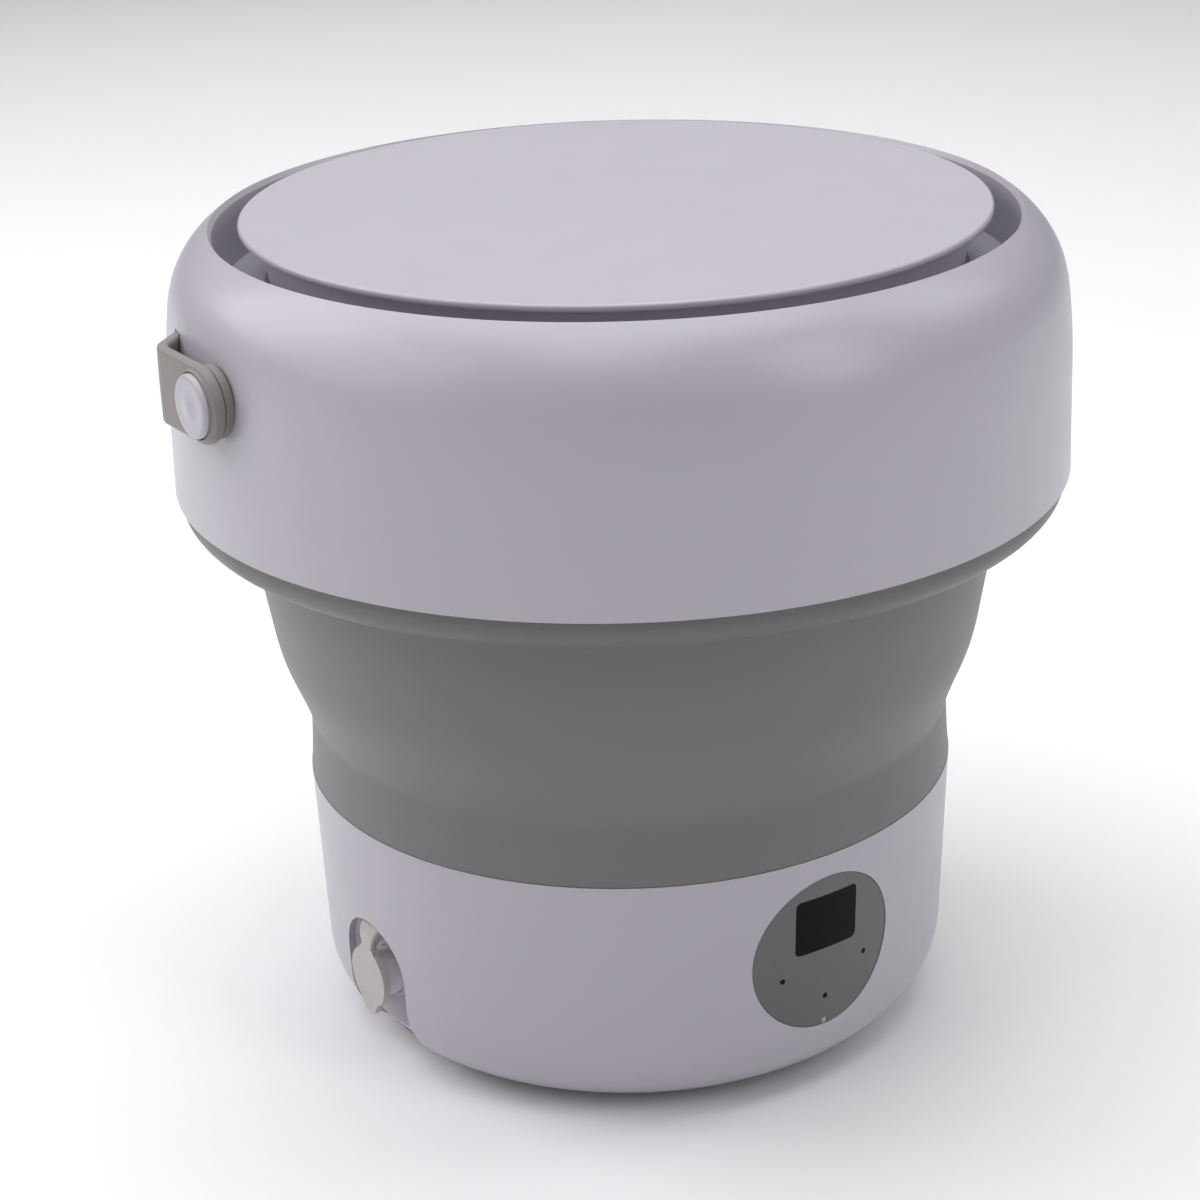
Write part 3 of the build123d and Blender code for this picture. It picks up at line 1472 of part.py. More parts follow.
driver_board_top = driver_board_height + board_thickness
with BuildPart() as driver_board:
    with BuildSketch(Plane.XY.offset(driver_board_height)):
        with Locations((0, driver_board_place)):
            RectangleRounded(driver_board_width, driver_board_depth, board_corner)
        with Locations(*driver_screw_places):
            Circle(driver_screw_radius + snug_gap, mode=Mode.SUBTRACT)
    extrude(amount=board_thickness)
finish(driver_board, "driver_board")

with BuildPart() as driver_parts:
    with BuildSketch(Plane.XY.offset(driver_board_top)):
        with Locations(*((x, driver_board_place + y) for x, y in capacitor_places)):
            Circle(capacitor_radius)
    extrude(amount=capacitor_height)
    for (x, y), (width, depth, height) in ((regulator_place, regulator_size), (chip_place, chip_size)):
        with BuildSketch(Plane.XY.offset(driver_board_top)):
            with Locations((x, driver_board_place + y)):
                Rectangle(width, depth)
        extrude(amount=height)
finish(driver_parts, "driver_parts")

with BuildPart() as driver_screws:
    with BuildSketch(Plane.XY.offset(driver_board_top)):
        with Locations(*driver_screw_places):
            Circle(driver_screw_head)
    extrude(amount=driver_screw_head_height)
    with BuildSketch(Plane.XY.offset(driver_board_top - driver_screw_length)):
        with Locations(*driver_screw_places):
            Circle(driver_screw_radius)
    extrude(amount=driver_screw_length)
finish(driver_screws, "driver_screws")

# Power inlet
with BuildPart() as power_inlet:
    with BuildSketch(rear.offset(inlet_face)):
        with Locations((0, jack_height)):
            Circle(jack_flange_radius)
    extrude(amount=jack_flange)
    with BuildSketch(rear.offset(inlet_face - jack_length)):
        with Locations((0, jack_height)):
            Circle(jack_radius)
    extrude(amount=jack_length)
    with BuildSketch(rear.offset(inlet_face - jack_length + jack_back_wall)):
        with Locations((0, jack_height)):
            Circle(jack_bore)
            Circle(jack_pin, mode=Mode.SUBTRACT)
    extrude(amount=jack_length + jack_flange - jack_back_wall, mode=Mode.SUBTRACT)
finish(power_inlet, "power_inlet")

with BuildPart() as inlet_nut:
    with BuildSketch(rear.offset(inlet_inside - nut_thickness)):
        with Locations((0, jack_height)):
            RegularPolygon(jack_radius + nut_reach, 6)
            Circle(jack_radius + trim_gap, mode=Mode.SUBTRACT)
    extrude(amount=nut_thickness)
finish(inlet_nut, "inlet_nut")

# Leads inside the base
jack_tail = inlet_face - jack_length
lead_end_radius = motor_radius + lead_gap
lead_side, lead_low, lead_high = motor_lead
(board_side, board_rise), left, front, end = display_lead
lead_routes = [
    [
        (0, jack_tail, jack_height),
        (0, driver_board_place + inlet_lead_place, jack_height),
        (0, driver_board_place + inlet_lead_place, driver_board_top),
    ],
    [
        (lead_side, driver_board_place, driver_board_top),
        (lead_side, driver_board_place, lead_low),
        (motor_offset - 0.6 * lead_end_radius, 0.8 * lead_end_radius, lead_high),
    ],
    [
        (board_side, driver_board_place, driver_board_top),
        (board_side, driver_board_place, board_rise),
        (left[0], left[1], board_rise),
        (front[0], front[1], board_rise),
        (end[0], lead_gap - board_back, end[1]),
    ],
]
with BuildPart() as wiring:
    for route in lead_routes:
        with BuildLine() as path:
            FilletPolyline(*route, radius=lead_bend)
        start = path.wires()[0]
        with BuildSketch(Plane(origin=start @ 0, z_dir=start % 0)) as lead_section:
            Circle(lead_radius)
        sweep(lead_section.sketch, path=start)
finish(wiring, "wiring")
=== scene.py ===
import math

import bmesh
import bpy
import numpy as np
from mathutils import Matrix, Vector


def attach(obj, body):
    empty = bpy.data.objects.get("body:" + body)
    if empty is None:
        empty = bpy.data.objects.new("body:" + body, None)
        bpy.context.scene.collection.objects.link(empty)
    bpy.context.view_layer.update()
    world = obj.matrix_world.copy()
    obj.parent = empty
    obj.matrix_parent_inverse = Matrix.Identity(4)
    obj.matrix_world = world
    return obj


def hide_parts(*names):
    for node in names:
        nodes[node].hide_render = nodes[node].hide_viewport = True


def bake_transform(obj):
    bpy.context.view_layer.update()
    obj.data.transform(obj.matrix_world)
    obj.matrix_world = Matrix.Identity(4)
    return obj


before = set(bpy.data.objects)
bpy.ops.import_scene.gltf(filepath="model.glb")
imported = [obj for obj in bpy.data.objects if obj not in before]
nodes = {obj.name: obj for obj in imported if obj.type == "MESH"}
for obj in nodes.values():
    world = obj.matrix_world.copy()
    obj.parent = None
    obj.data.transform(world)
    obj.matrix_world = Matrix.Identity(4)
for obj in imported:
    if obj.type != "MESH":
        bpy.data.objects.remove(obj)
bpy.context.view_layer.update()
scene = bpy.context.scene
scene.view_settings.view_transform = "Standard"
scene.view_settings.look = "None"
mm = 0.001

# camera as fitted to the photograph's ellipses and outline
cameraView = {
    "place": (-0.59501, -0.86574, 0.60430),
    "right": (0.8229378, -0.5673968, -0.0288842),
    "up": (0.2367695, 0.2963017, 0.9252813),
    "forward": (0.5164432, 0.7682879, -0.3781801),
    "lens": 81.003,
}


def makeCamera(look):
    data = bpy.data.cameras.new("camera")
    data.lens = look["lens"]
    data.sensor_width = 36.0
    data.clip_end = 50.0
    camera = bpy.data.objects.new("camera", data)
    scene.collection.objects.link(camera)
    right, up, forward = (Vector(look[k]) for k in ("right", "up", "forward"))
    turn = Matrix((right, up, -forward)).transposed()
    camera.matrix_world = Matrix.Translation(look["place"]) @ turn.to_4x4()
    scene.camera = camera


makeCamera(cameraView)
print("camera set")


class Wire:
    # an output socket; sums on it add Math nodes
    def __init__(self, finish, socket):
        self.finish = finish
        self.socket = socket

    def work(self, operation, first, second):
        return self.finish.node("ShaderNodeMath", {"operation": operation}, {0: first, 1: second})

    def __add__(self, other):
        return self.work("ADD", self, other)

    def __radd__(self, other):
        return self.work("ADD", other, self)

    def __sub__(self, other):
        return self.work("SUBTRACT", self, other)

    def __rsub__(self, other):
        return self.work("SUBTRACT", other, self)

    def __mul__(self, other):
        return self.work("MULTIPLY", self, other)


class Finish:
    # one material; node() makes any node and hands back one of its outputs
    def __init__(self, name):
        self.material = bpy.data.materials.new(name)
        self.material.use_nodes = True
        self.tree = self.material.node_tree
        self.tree.nodes.clear()

    def node(self, kind, settings=None, sockets=None, output=0):
        made = self.tree.nodes.new(kind)
        for key, value in (settings or {}).items():
            setattr(made, key, value)
        for key, value in (sockets or {}).items():
            if isinstance(value, Wire):
                self.tree.links.new(value.socket, made.inputs[key])
            else:
                made.inputs[key].default_value = value
        return Wire(self, made.outputs[output]) if made.outputs else None

    def place(self):
        return self.node("ShaderNodeTexCoord", output="Object")

    def noise(self, scale, detail=2.0, rough=0.5, at=None):
        sockets = {"Scale": scale, "Detail": detail, "Roughness": rough}
        sockets["Vector"] = at or self.place()
        return self.node("ShaderNodeTexNoise", {}, sockets, "Fac")

    def blend(self, share, first, second):
        return self.node("ShaderNodeMix", {"data_type": "RGBA"}, {0: share, 6: first, 7: second}, 2)

    def span(self, value, low, high):
        # nought below low, one above high
        sockets = {"Value": value, "From Min": low, "From Max": high}
        return self.node("ShaderNodeMapRange", {"clamp": True}, sockets)

    def bump(self, height, depth, under=None):
        sockets = {"Height": height, "Distance": depth, "Strength": 1.0}
        if under:
            sockets["Normal"] = under
        return self.node("ShaderNodeBump", {}, sockets)

    def surface(self, **sockets):
        named = {key.replace("_", " "): value for key, value in sockets.items()}
        shader = self.node("ShaderNodeBsdfPrincipled", {}, named)
        self.node("ShaderNodeOutputMaterial", {}, {"Surface": shader})
        return self.material


def shade(colour, by):
    return tuple(max(0.0, min(1.0, c * by)) for c in colour[:3]) + (1.0,)


def toned(finish, share, look):
    # from a little darker to a little lighter than the look's colour
    darker, lighter = shade(look["colour"], 1 - look["tone"]), shade(look["colour"], 1 + look["tone"])
    return finish.blend(share, darker, lighter)


def mouldedPlastic(name, look):
    # gloss that wanders a little, a faint flow of tone, and the fine grain of the mould
    finish = Finish(name)
    flow = finish.noise(look["flow"], 3.0, 0.55)
    colour = toned(finish, flow, look)
    handled = finish.span(finish.noise(38.0, 4.0, 0.6), 0.42, 0.7)
    grain = finish.noise(look["grain"], 2.0, 0.6)
    rough = look["rough"] + handled * look["spread"] + (grain - 0.5) * 0.03
    wave = finish.noise(26.0, 1.0, 0.4)
    relief = finish.bump(grain, look["grainDepth"] * mm, under=finish.bump(wave, look["waveDepth"] * mm))
    return finish.surface(
        Base_Color=colour,
        Roughness=rough,
        Normal=relief,
        IOR=1.5,
    )


def silicone(name, look):
    # matt, slightly velvety, with lint-fine speckle and soft mottling
    finish = Finish(name)
    mottle = finish.noise(14.0, 4.0, 0.6)
    colour = toned(finish, mottle, look)
    lint = finish.span(finish.noise(620.0, 2.0, 0.7), 0.66, 0.8)
    colour = finish.blend(lint * look["lint"], colour, shade(look["colour"], 1.35))
    grain = finish.noise(900.0, 2.0, 0.7)
    rough = look["rough"] + (mottle - 0.5) * 0.12 + lint * 0.1
    relief = finish.bump(grain, 0.035 * mm, under=finish.bump(mottle, look["waveDepth"] * mm))
    return finish.surface(
        Base_Color=colour,
        Roughness=rough,
        Normal=relief,
        IOR=1.42,
        Sheen_Weight=look["sheen"],
        Sheen_Roughness=0.5,
    )


def steel(name, look):
    # turned or drawn metal: fine streaks round the part and a little tarnish
    finish = Finish(name)
    streaks = finish.node("ShaderNodeMapping", {}, {"Vector": finish.place(), "Scale": look["streak"]})
    lines = finish.noise(340.0, 3.0, 0.7, at=streaks)
    tarnish = finish.span(finish.noise(55.0, 3.0, 0.6), 0.45, 0.75)
    colour = finish.blend(tarnish, look["colour"] + (1.0,), shade(look["colour"], 0.8))
    return finish.surface(
        Base_Color=colour,
        Roughness=look["rough"] + lines * 0.14 + tarnish * 0.1,
        Metallic=1.0,
        Normal=finish.bump(lines, 0.02 * mm),
    )


# flow is the scale of the tone's flow, spread how far handling roughens the gloss
plasticLooks = {
    "shellWhite": {
        "colour": (0.455, 0.428, 0.477), "tone": 0.012, "flow": 7.0,
        "rough": 0.30, "spread": 0.05, "grain": 1500.0, "grainDepth": 0.012, "waveDepth": 0.03,
    },
    "insideWhite": {
        "colour": (0.455, 0.433, 0.477), "tone": 0.03, "flow": 11.0,
        "rough": 0.42, "spread": 0.08, "grain": 900.0, "grainDepth": 0.03, "waveDepth": 0.05,
    },
    # the niche's white plastic is painted much lighter than the shell's same plastic: painted light that
    # stands in for light the deep niche does not get
    "nicheWhitePaintedLight": {
        "colour": (0.760, 0.715, 0.785), "tone": 0.02, "flow": 9.0,
        "rough": 0.40, "spread": 0.06, "grain": 1000.0, "grainDepth": 0.015, "waveDepth": 0.02,
    },
    "ringGrey": {
        "colour": (0.134, 0.130, 0.128), "tone": 0.03, "flow": 12.0,
        "rough": 0.42, "spread": 0.08, "grain": 1100.0, "grainDepth": 0.03, "waveDepth": 0.03,
    },
    "nylonBlack": {
        "colour": (0.035, 0.035, 0.037), "tone": 0.12, "flow": 30.0,
        "rough": 0.45, "spread": 0.12, "grain": 1200.0, "grainDepth": 0.03, "waveDepth": 0.02,
    },
    "wireRed": {
        "colour": (0.42, 0.035, 0.028), "tone": 0.08, "flow": 60.0,
        "rough": 0.38, "spread": 0.1, "grain": 900.0, "grainDepth": 0.01, "waveDepth": 0.02,
    },
}
siliconeLooks = {
    "bellowsGrey": {
        "colour": (0.172, 0.164, 0.170), "tone": 0.035, "lint": 0.35,
        "rough": 0.50, "waveDepth": 0.10, "sheen": 0.12,
    },
    "strapGrey": {
        "colour": (0.228, 0.216, 0.203), "tone": 0.04, "lint": 0.3,
        "rough": 0.48, "waveDepth": 0.06, "sheen": 0.10,
    },
    "plugWhite": {
        "colour": (0.460, 0.433, 0.428), "tone": 0.03, "lint": 0.2,
        "rough": 0.45, "waveDepth": 0.05, "sheen": 0.08,
    },
    "rubberBlack": {
        "colour": (0.030, 0.030, 0.031), "tone": 0.15, "lint": 0.5,
        "rough": 0.62, "waveDepth": 0.05, "sheen": 0.10,
    },
}
steelLook = {"colour": (0.58, 0.57, 0.56), "rough": 0.26, "streak": (1.0, 1.0, 14.0)}
finishes = {name: mouldedPlastic(name, look) for name, look in plasticLooks.items()}
finishes.update({name: silicone(name, look) for name, look in siliconeLooks.items()})
finishes["plainSteel"] = steel("plainSteel", steelLook)


def panelFilm(look):
    # printed film: even grey, faint touch rings above the dots, a soft gloss
    finish = Finish("panelFilm")
    place = finish.place()
    mottle = finish.noise(45.0, 3.0, 0.5, at=place)
    colour = toned(finish, mottle, look)
    rings = None
    for across, face, up in look["rings"]:
        gap = finish.node(
            "ShaderNodeVectorMath",
            {"operation": "DISTANCE"},
            {0: place, 1: (across * mm, face * mm, up * mm)},
            "Value",
        )
        off = finish.node("ShaderNodeMath", {"operation": "ABSOLUTE"}, {0: gap - look["ringRadius"] * mm})
        line = 1 - finish.span(off, look["ringCore"] * mm, look["ringLine"] * mm)
        rings = line if rings is None else rings + line
    colour = finish.blend(rings * look["ringShare"], colour, shade(look["colour"], look["ringShade"]))
    grain = finish.noise(1600.0, 2.0, 0.6)
    return finish.surface(
        Base_Color=colour,
        Roughness=look["rough"] + mottle * 0.06 + grain * 0.03,
        Normal=finish.bump(grain, 0.006 * mm),
        IOR=1.5,
    )


panelLook = {
    "colour": (0.114, 0.119, 0.121),
    "tone": 0.04,
    "rough": 0.30,
    # across, depth of the curved face and height of each touch ring
    "rings": ((-20.6, -132.36, 68.0), (20.6, -132.36, 68.0), (0.0, -133.49, 55.2)),
    "ringRadius": 3.6,
    "ringCore": 0.18,
    "ringLine": 0.45,
    "ringShare": 0.28,
    "ringShade": 0.72,
}
finishes["panelFilm"] = panelFilm(panelLook)


def darkGlass(look):
    # smoked window: nearly black, glossy, with a trace of dust and fine rub marks
    finish = Finish("darkGlass")
    place = finish.place()
    dust = finish.span(finish.noise(900.0, 3.0, 0.7, at=place), 0.68, 0.82)
    haze = finish.noise(28.0, 3.0, 0.5, at=place)
    colour = finish.blend(dust * 0.12, shade(look["colour"], 1.0), look["dust"])
    return finish.surface(
        Base_Color=colour,
        Roughness=look["rough"] + haze * 0.08 + dust * 0.3,
        Normal=finish.bump(haze, 0.01 * mm),
        IOR=look["index"],
    )


glassLook = {"colour": (0.007, 0.006, 0.0068), "dust": (0.10, 0.10, 0.10, 1.0), "rough": 0.22, "index": 1.16}
finishes["darkGlass"] = darkGlass(glassLook)


def circuitBoard(look):
    # solder mask over a grid of tracks
    finish = Finish("circuitBoard")
    place = finish.place()
    grid = {"Vector": place, "Scale": 210.0, "Mortar Size": 0.05}
    cells = finish.node("ShaderNodeTexBrick", {}, grid, "Fac")
    mottle = finish.noise(90.0, 3.0, 0.5, at=place)
    colour = toned(finish, mottle, look)
    colour = finish.blend(cells * 0.5, colour, shade(look["colour"], look["track"]))
    return finish.surface(
        Base_Color=colour,
        Roughness=0.3 + mottle * 0.15,
        Normal=finish.bump(cells, 0.03 * mm),
        IOR=1.5,
    )


finishes["circuitBoard"] = circuitBoard({"colour": (0.018, 0.105, 0.045), "tone": 0.15, "track": 1.9})
print("finishes:", len(finishes))

# which finish each CAD piece takes
cadFinish = {
    "shellWhite": ["upper_shell", "lid_disc", "lid_plug", "base_shell", "strap_button"],
    "insideWhite": [
        "inner_collar", "tub_bowl", "lower_clamp_ring", "bearing_housing", "pulsator", "bottom_cover",
    # drain housing and spout take the lighter copy of the white plastic, with painted light in its colour
    ],
    "nicheWhitePaintedLight": ["drain_housing", "drain_spout"],
    "ringGrey": ["skirt_ring"],
    "bellowsGrey": ["bellows", "lid_seal"],
    "strapGrey": ["strap", "strap_spacer"],
    "plugWhite": ["drain_plug", "drain_tether"],
    "rubberBlack": ["feet", "shaft_seal", "motor_grommets", "drive_belt", "drain_hose"],
    "nylonBlack": [
        "driven_pulley", "motor_pulley", "power_inlet", "inlet_nut",
        "display_module", "board_spacers", "driver_parts",
    ],
    "wireRed": ["wiring"],
    "plainSteel": [
        "collar_screws", "strap_screw", "lid_screws", "bottom_screws", "drain_strainer", "housing_screws",
        "lower_bearing", "upper_bearing", "drive_shaft", "pulley_clip", "pulsator_screw", "motor_body",
        "motor_bracket", "motor_screws", "motor_shaft", "touch_contacts", "board_screws", "driver_screws",
    ],
    "panelFilm": ["control_panel"],
    "darkGlass": ["display_window", "indicator_lenses"],
    "circuitBoard": ["display_board", "driver_board"],
}
for finishName, names in cadFinish.items():
    for name in names:
        slots = nodes[name].material_slots
        if len(slots) == 0:
            nodes[name].data.materials.append(finishes[finishName])
        for slot in slots:
            slot.material = finishes[finishName]
print("CAD pieces dressed:", sum(len(n) for n in cadFinish.values()))


def newPiece(name, mesh, finishName, smoothAngle=40):
    piece = bpy.data.objects.new(name, mesh)
    scene.collection.objects.link(piece)
    mesh.materials.append(finishes[finishName])
    mesh.shade_smooth()
    mesh.set_sharp_from_angle(angle=math.radians(smoothAngle))
    return piece


def ringSection(inner, outer, low, high):
    return [(inner, low), (outer, low), (outer, high), (inner, high)]


def softened(outline, radius, steps=4):
    # each corner of a closed outline becomes a small curve
    rounded = []
    for i, point in enumerate(outline):
        here = np.array(point, float)
        before = np.array(outline[i - 1], float) - here
        after = np.array(outline[(i + 1) % len(outline)], float) - here
        reach = min(radius, np.linalg.norm(before) * 0.45, np.linalg.norm(after) * 0.45)
        start = here + before / np.linalg.norm(before) * reach
        end = here + after / np.linalg.norm(after) * reach
        for k in range(steps + 1):
            t = k / steps
            rounded.append(tuple((1 - t) ** 2 * start + 2 * t * (1 - t) * here + t**2 * end))
    return rounded


def flowing(points, steps=6, starting=None, ending=None):
    # an evenly bending line through points: a cubic spline on the distance along them
    p = np.array(points, float)
    gaps = np.linalg.norm(np.diff(p, axis=0), axis=1)
    count = len(p)
    system, right = np.zeros((count, count)), np.zeros(p.shape)
    for i in range(1, count - 1):
        system[i, i - 1 : i + 2] = gaps[i - 1], 2 * (gaps[i - 1] + gaps[i]), gaps[i]
        right[i] = 6 * ((p[i + 1] - p[i]) / gaps[i] - (p[i] - p[i - 1]) / gaps[i - 1])
    system[0, 0] = system[-1, -1] = 1.0
    if starting is not None:
        system[0, :2] = 2 * gaps[0], gaps[0]
        right[0] = 6 * ((p[1] - p[0]) / gaps[0] - np.array(starting))
    if ending is not None:
        system[-1, -2:] = gaps[-1], 2 * gaps[-1]
        right[-1] = 6 * (np.array(ending) - (p[-1] - p[-2]) / gaps[-1])
    bend = np.linalg.solve(system, right)
    line = []
    for i, gap in enumerate(gaps):
        for k in range(steps):
            a, b = 1 - k / steps, k / steps
            curve = ((a**3 - a) * bend[i] + (b**3 - b) * bend[i + 1]) * gap**2 / 6
            line.append(tuple(a * p[i] + b * p[i + 1] + curve))
    return line + [tuple(points[-1])]


def turned(outline, around, steps=160):
    # a mesh turned from an outline of (radius, place along the axis), in millimetres
    # around gives (centre, axis, first radius direction)
    centre, axis, first = (Vector(v) for v in around)
    second = axis.cross(first)
    mesh = bpy.data.meshes.new("turned")
    bm = bmesh.new()
    rings = []
    for k in range(steps):
        a = 2 * math.pi * k / steps
        out = first * math.cos(a) + second * math.sin(a)
        rings.append([bm.verts.new((centre + out * r + axis * h) * mm) for r, h in outline])
    for k in range(steps):
        one, two = rings[k], rings[(k + 1) % steps]
        for i in range(len(outline)):
            j = (i + 1) % len(outline)
            bm.faces.new((one[i], two[i], two[j], one[j]))
    bmesh.ops.remove_doubles(bm, verts=bm.verts, dist=1e-7)
    bmesh.ops.recalc_face_normals(bm, faces=bm.faces)
    bm.to_mesh(mesh)
    bm.free()
    return mesh


upright = ((0, 0, 0), (0, 0, 1), (1, 0, 0))

# silicone bellows: one turned skin of even thickness, blended from the base to the upper body
bellowsShape = {
    "top": (154.5, 222.87),
    "crease": (134.2, 135.9),
    "band": (134.7, 123.5),
    "foot": (135.5, 111.1),
    "skirt": (132.2, 103.3),
    "flange": (163.0, 225.67, 227.87),
    "wall": 2.2,
    # share of the wall's height and how far the radius has dropped from the top's
    "drops": (
        (1.0, 0.0), (0.861, 2.19), (0.733, 3.80), (0.527, 6.70),
        (0.396, 8.79), (0.301, 11.2), (0.154, 16.2), (0.029, 19.9),
    ),
    "leaving": (-0.25, -1),
    "arriving": (-0.3, -0.95),
}


def bellowsOutline(b):
    topRadius, topHeight = b["top"]
    footRadius, footHeight = b["foot"]
    bandRadius, bandHeight = b["band"]
    creaseRadius, creaseHeight = b["crease"]
    skirtRadius, skirtFoot = b["skirt"]
    flangeRadius, flangeLow, flangeHigh = b["flange"]
    w, rise = b["wall"], topHeight - creaseHeight
    marks = [(topRadius - drop, creaseHeight + share * rise) for share, drop in b["drops"]]
    wallLine = flowing(marks, 8, b["leaving"], b["arriving"])
    outer = [(flangeRadius, flangeLow), (topRadius, flangeLow)] + wallLine
    outer += flowing([b["crease"], b["band"], b["foot"]], 10)
    outer += [(skirtRadius, footHeight), (skirtRadius, skirtFoot)]
    inner = [(skirtRadius - w, skirtFoot), (skirtRadius - w, footHeight + w)]
    inner += [(footRadius - w, footHeight + w), (bandRadius - w, bandHeight), (creaseRadius - w, creaseHeight)]
    inner += [(r - w, h) for r, h in reversed(wallLine)]
    inner += [(topRadius - w, flangeHigh), (flangeRadius, flangeHigh)]
    return outer + inner


bellowsSkin = newPiece("bellowsSkin", turned(bellowsOutline(bellowsShape), upright, 224), "bellowsGrey", 50)
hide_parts("bellows")
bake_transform(bellowsSkin)
print("bellows made")

# soft seal under the lid's plug
sealShape = {"inner": 135.75, "outer": 140.25, "low": 318.44, "high": 321.6}
sealOutline = softened(ringSection(**sealShape), 1.2)
lidSealRing = newPiece("lidSealRing", turned(sealOutline, upright), "bellowsGrey")
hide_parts("lid_seal")
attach(lidSealRing, "lid")

# rubber feet with a grooved sole
footShape = {"radius": 8.0, "circle": 74.0, "top": 3.5, "grooves": (5.2, 3.0), "grooveDepth": 0.5}


def footOutline(f):
    r = f["radius"]
    points = [(0.0, f["top"]), (r - 0.1, f["top"]), (r, 1.4), (r - 0.15, 0.6), (r - 0.8, 0.0)]
    for groove in f["grooves"]:
        points += [(groove + 0.5, 0.0), (groove + 0.3, f["grooveDepth"])]
        points += [(groove - 0.3, f["grooveDepth"]), (groove - 0.5, 0.0)]
    return points + [(0.0, 0.0)]


def makeFeet(f):
    bm = bmesh.new()
    for k in range(4):
        a = math.pi / 2 * k
        centre = (f["circle"] * math.cos(a), f["circle"] * math.sin(a), 0)
        part = turned(footOutline(f), (centre, (0, 0, 1), (1, 0, 0)), 48)
        bm.from_mesh(part)
        bpy.data.meshes.remove(part)
    mesh = bpy.data.meshes.new("footPads")
    bm.to_mesh(mesh)
    bm.free()
    return mesh


footPads = newPiece("footPads", makeFeet(footShape), "rubberBlack", 30)
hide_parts("feet")
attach(footPads, "base")
print("seal and feet made")

# carrying strap: a flat rounded band on one stud, bent in through the shell's slot
strapShape = {
    "height": 300.1,
    "inner": 183.8,
    "thickness": 4.5,
    "halfWidth": 15.0,
    "reach": 28.0,
    "bend": 8.0,
    "turn": 50.0,
    "tail": 22.0,
    "toggle": (4.0, 2.5),
    "edge": 1.3,
    "belly": 0.15,
    # radius, and height over the band's face, of the dished ring round the stud
    "ring": (
        (12.7, -1.2), (14.6, -1.2), (14.6, -0.1), (14.1, 0.1), (13.6, 0.3),
        (13.3, 0.65), (13.15, 1.1), (12.95, 1.3), (12.7, 1.1),
    ),
}


def strapPoint(p, along, high):
    # distance out and to the side for a point at some length along the band, lifted off its middle
    radius = p["bend"] + p["thickness"] / 2
    whole = math.radians(p["turn"])
    turn = min(max((along - p["reach"]) / radius, 0.0), whole)
    rest = max(along - p["reach"] - radius * whole, 0.0)
    out = p["inner"] + p["thickness"] / 2 - radius * (1 - math.cos(turn)) - rest * math.sin(turn)
    side = min(along, p["reach"]) + radius * math.sin(turn) + rest * math.cos(turn)
    return out + high * math.cos(turn), side + high * math.sin(turn)


def strapPlate(p):
    # rings of points from the edge inwards, laid flat, then bent in through the slot
    half, r, t = p["halfWidth"], p["edge"], p["thickness"] / 2
    length = p["reach"] + math.radians(p["turn"]) * (p["bend"] + t) + p["tail"]
    levels = [(0.0, -(t - r)), (0.0, 0.0), (0.0, t - r)]
    for k in range(1, 6):
        a = math.pi / 2 * k / 5
        levels.append((r * (1 - math.cos(a)), t - r + r * math.sin(a)))
    flats = [r + (half - r) * k / 7 for k in range(1, 8)]
    under = [(inset, -high) for inset, high in reversed(levels[3:])]
    top = [(inset, t + p["belly"] * math.sin(math.pi / 2 * (inset - r) / (half - r))) for inset in flats]
    bottom = [(inset, -t) for inset in reversed(flats)]
    profile = bottom + under + levels + top
    stations = [(length, 0.0, -1.0)]
    for k in range(1, 80):
        stations.append((length * (1 - k / 80), 0.0, -1.0))
    for k in range(49):
        a = math.pi / 2 + math.pi * k / 48
        stations.append((0.0, math.cos(a), -math.sin(a)))
    for k in range(1, 81):
        stations.append((length * k / 80, 0.0, 1.0))
    bm = bmesh.new()
    loops = []
    for along, dx, dy in stations:
        loop = []
        for inset, high in profile:
            out, side = strapPoint(p, along + dx * (half - inset), high)
            loop.append(bm.verts.new((-out * mm, side * mm, (p["height"] + dy * (half - inset)) * mm)))
        loops.append(loop)
    for one, two in zip(loops, loops[1:]):
        for i in range(len(profile) - 1):
            bm.faces.new((one[i], two[i], two[i + 1], one[i + 1]))
    # the toggle that closes the far end, inside the shell
    deep, wide = p["toggle"]
    corners = [(0.0, -t - wide), (0.0, t + wide), (deep, t + wide), (deep, -t - wide)]
    ends = []
    for tall in (-half, half):
        ends.append([])
        for more, high in corners:
            out, side = strapPoint(p, length + more - 0.01, high)
            ends[-1].append(bm.verts.new((-out * mm, side * mm, (p["height"] + tall) * mm)))
    bm.faces.new(ends[0])
    bm.faces.new(list(reversed(ends[1])))
    for i in range(4):
        j = (i + 1) % 4
        bm.faces.new((ends[0][i], ends[1][i], ends[1][j], ends[0][j]))
    bmesh.ops.remove_doubles(bm, verts=bm.verts, dist=2e-6)
    bmesh.ops.recalc_face_normals(bm, faces=bm.faces)
    mesh = bpy.data.meshes.new("strapBand")
    bm.to_mesh(mesh)
    bm.free()
    return mesh


strapBand = newPiece("strapBand", strapPlate(strapShape), "strapGrey", 45)
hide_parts("strap")
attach(strapBand, "upper_body")

studAxis = ((0, 0, strapShape["height"]), (-1, 0, 0), (0, 0, 1))
strapFace = strapShape["inner"] + strapShape["thickness"]
ringOutline = [(r, strapFace + high) for r, high in strapShape["ring"]]
studRing = newPiece("studRing", turned(ringOutline, studAxis, 96), "strapGrey", 40)
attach(studRing, "upper_body")

# thin silicone disc between the strap and the shell
spacerOutline = [(5.3, 180.3), (14.0, 179.8), (14.0, 183.5), (5.3, 183.6)]
spacerDisc = newPiece("spacerDisc", turned(softened(spacerOutline, 0.7), studAxis, 96), "strapGrey")
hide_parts("strap_spacer")
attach(spacerDisc, "upper_body")
print("strap made")

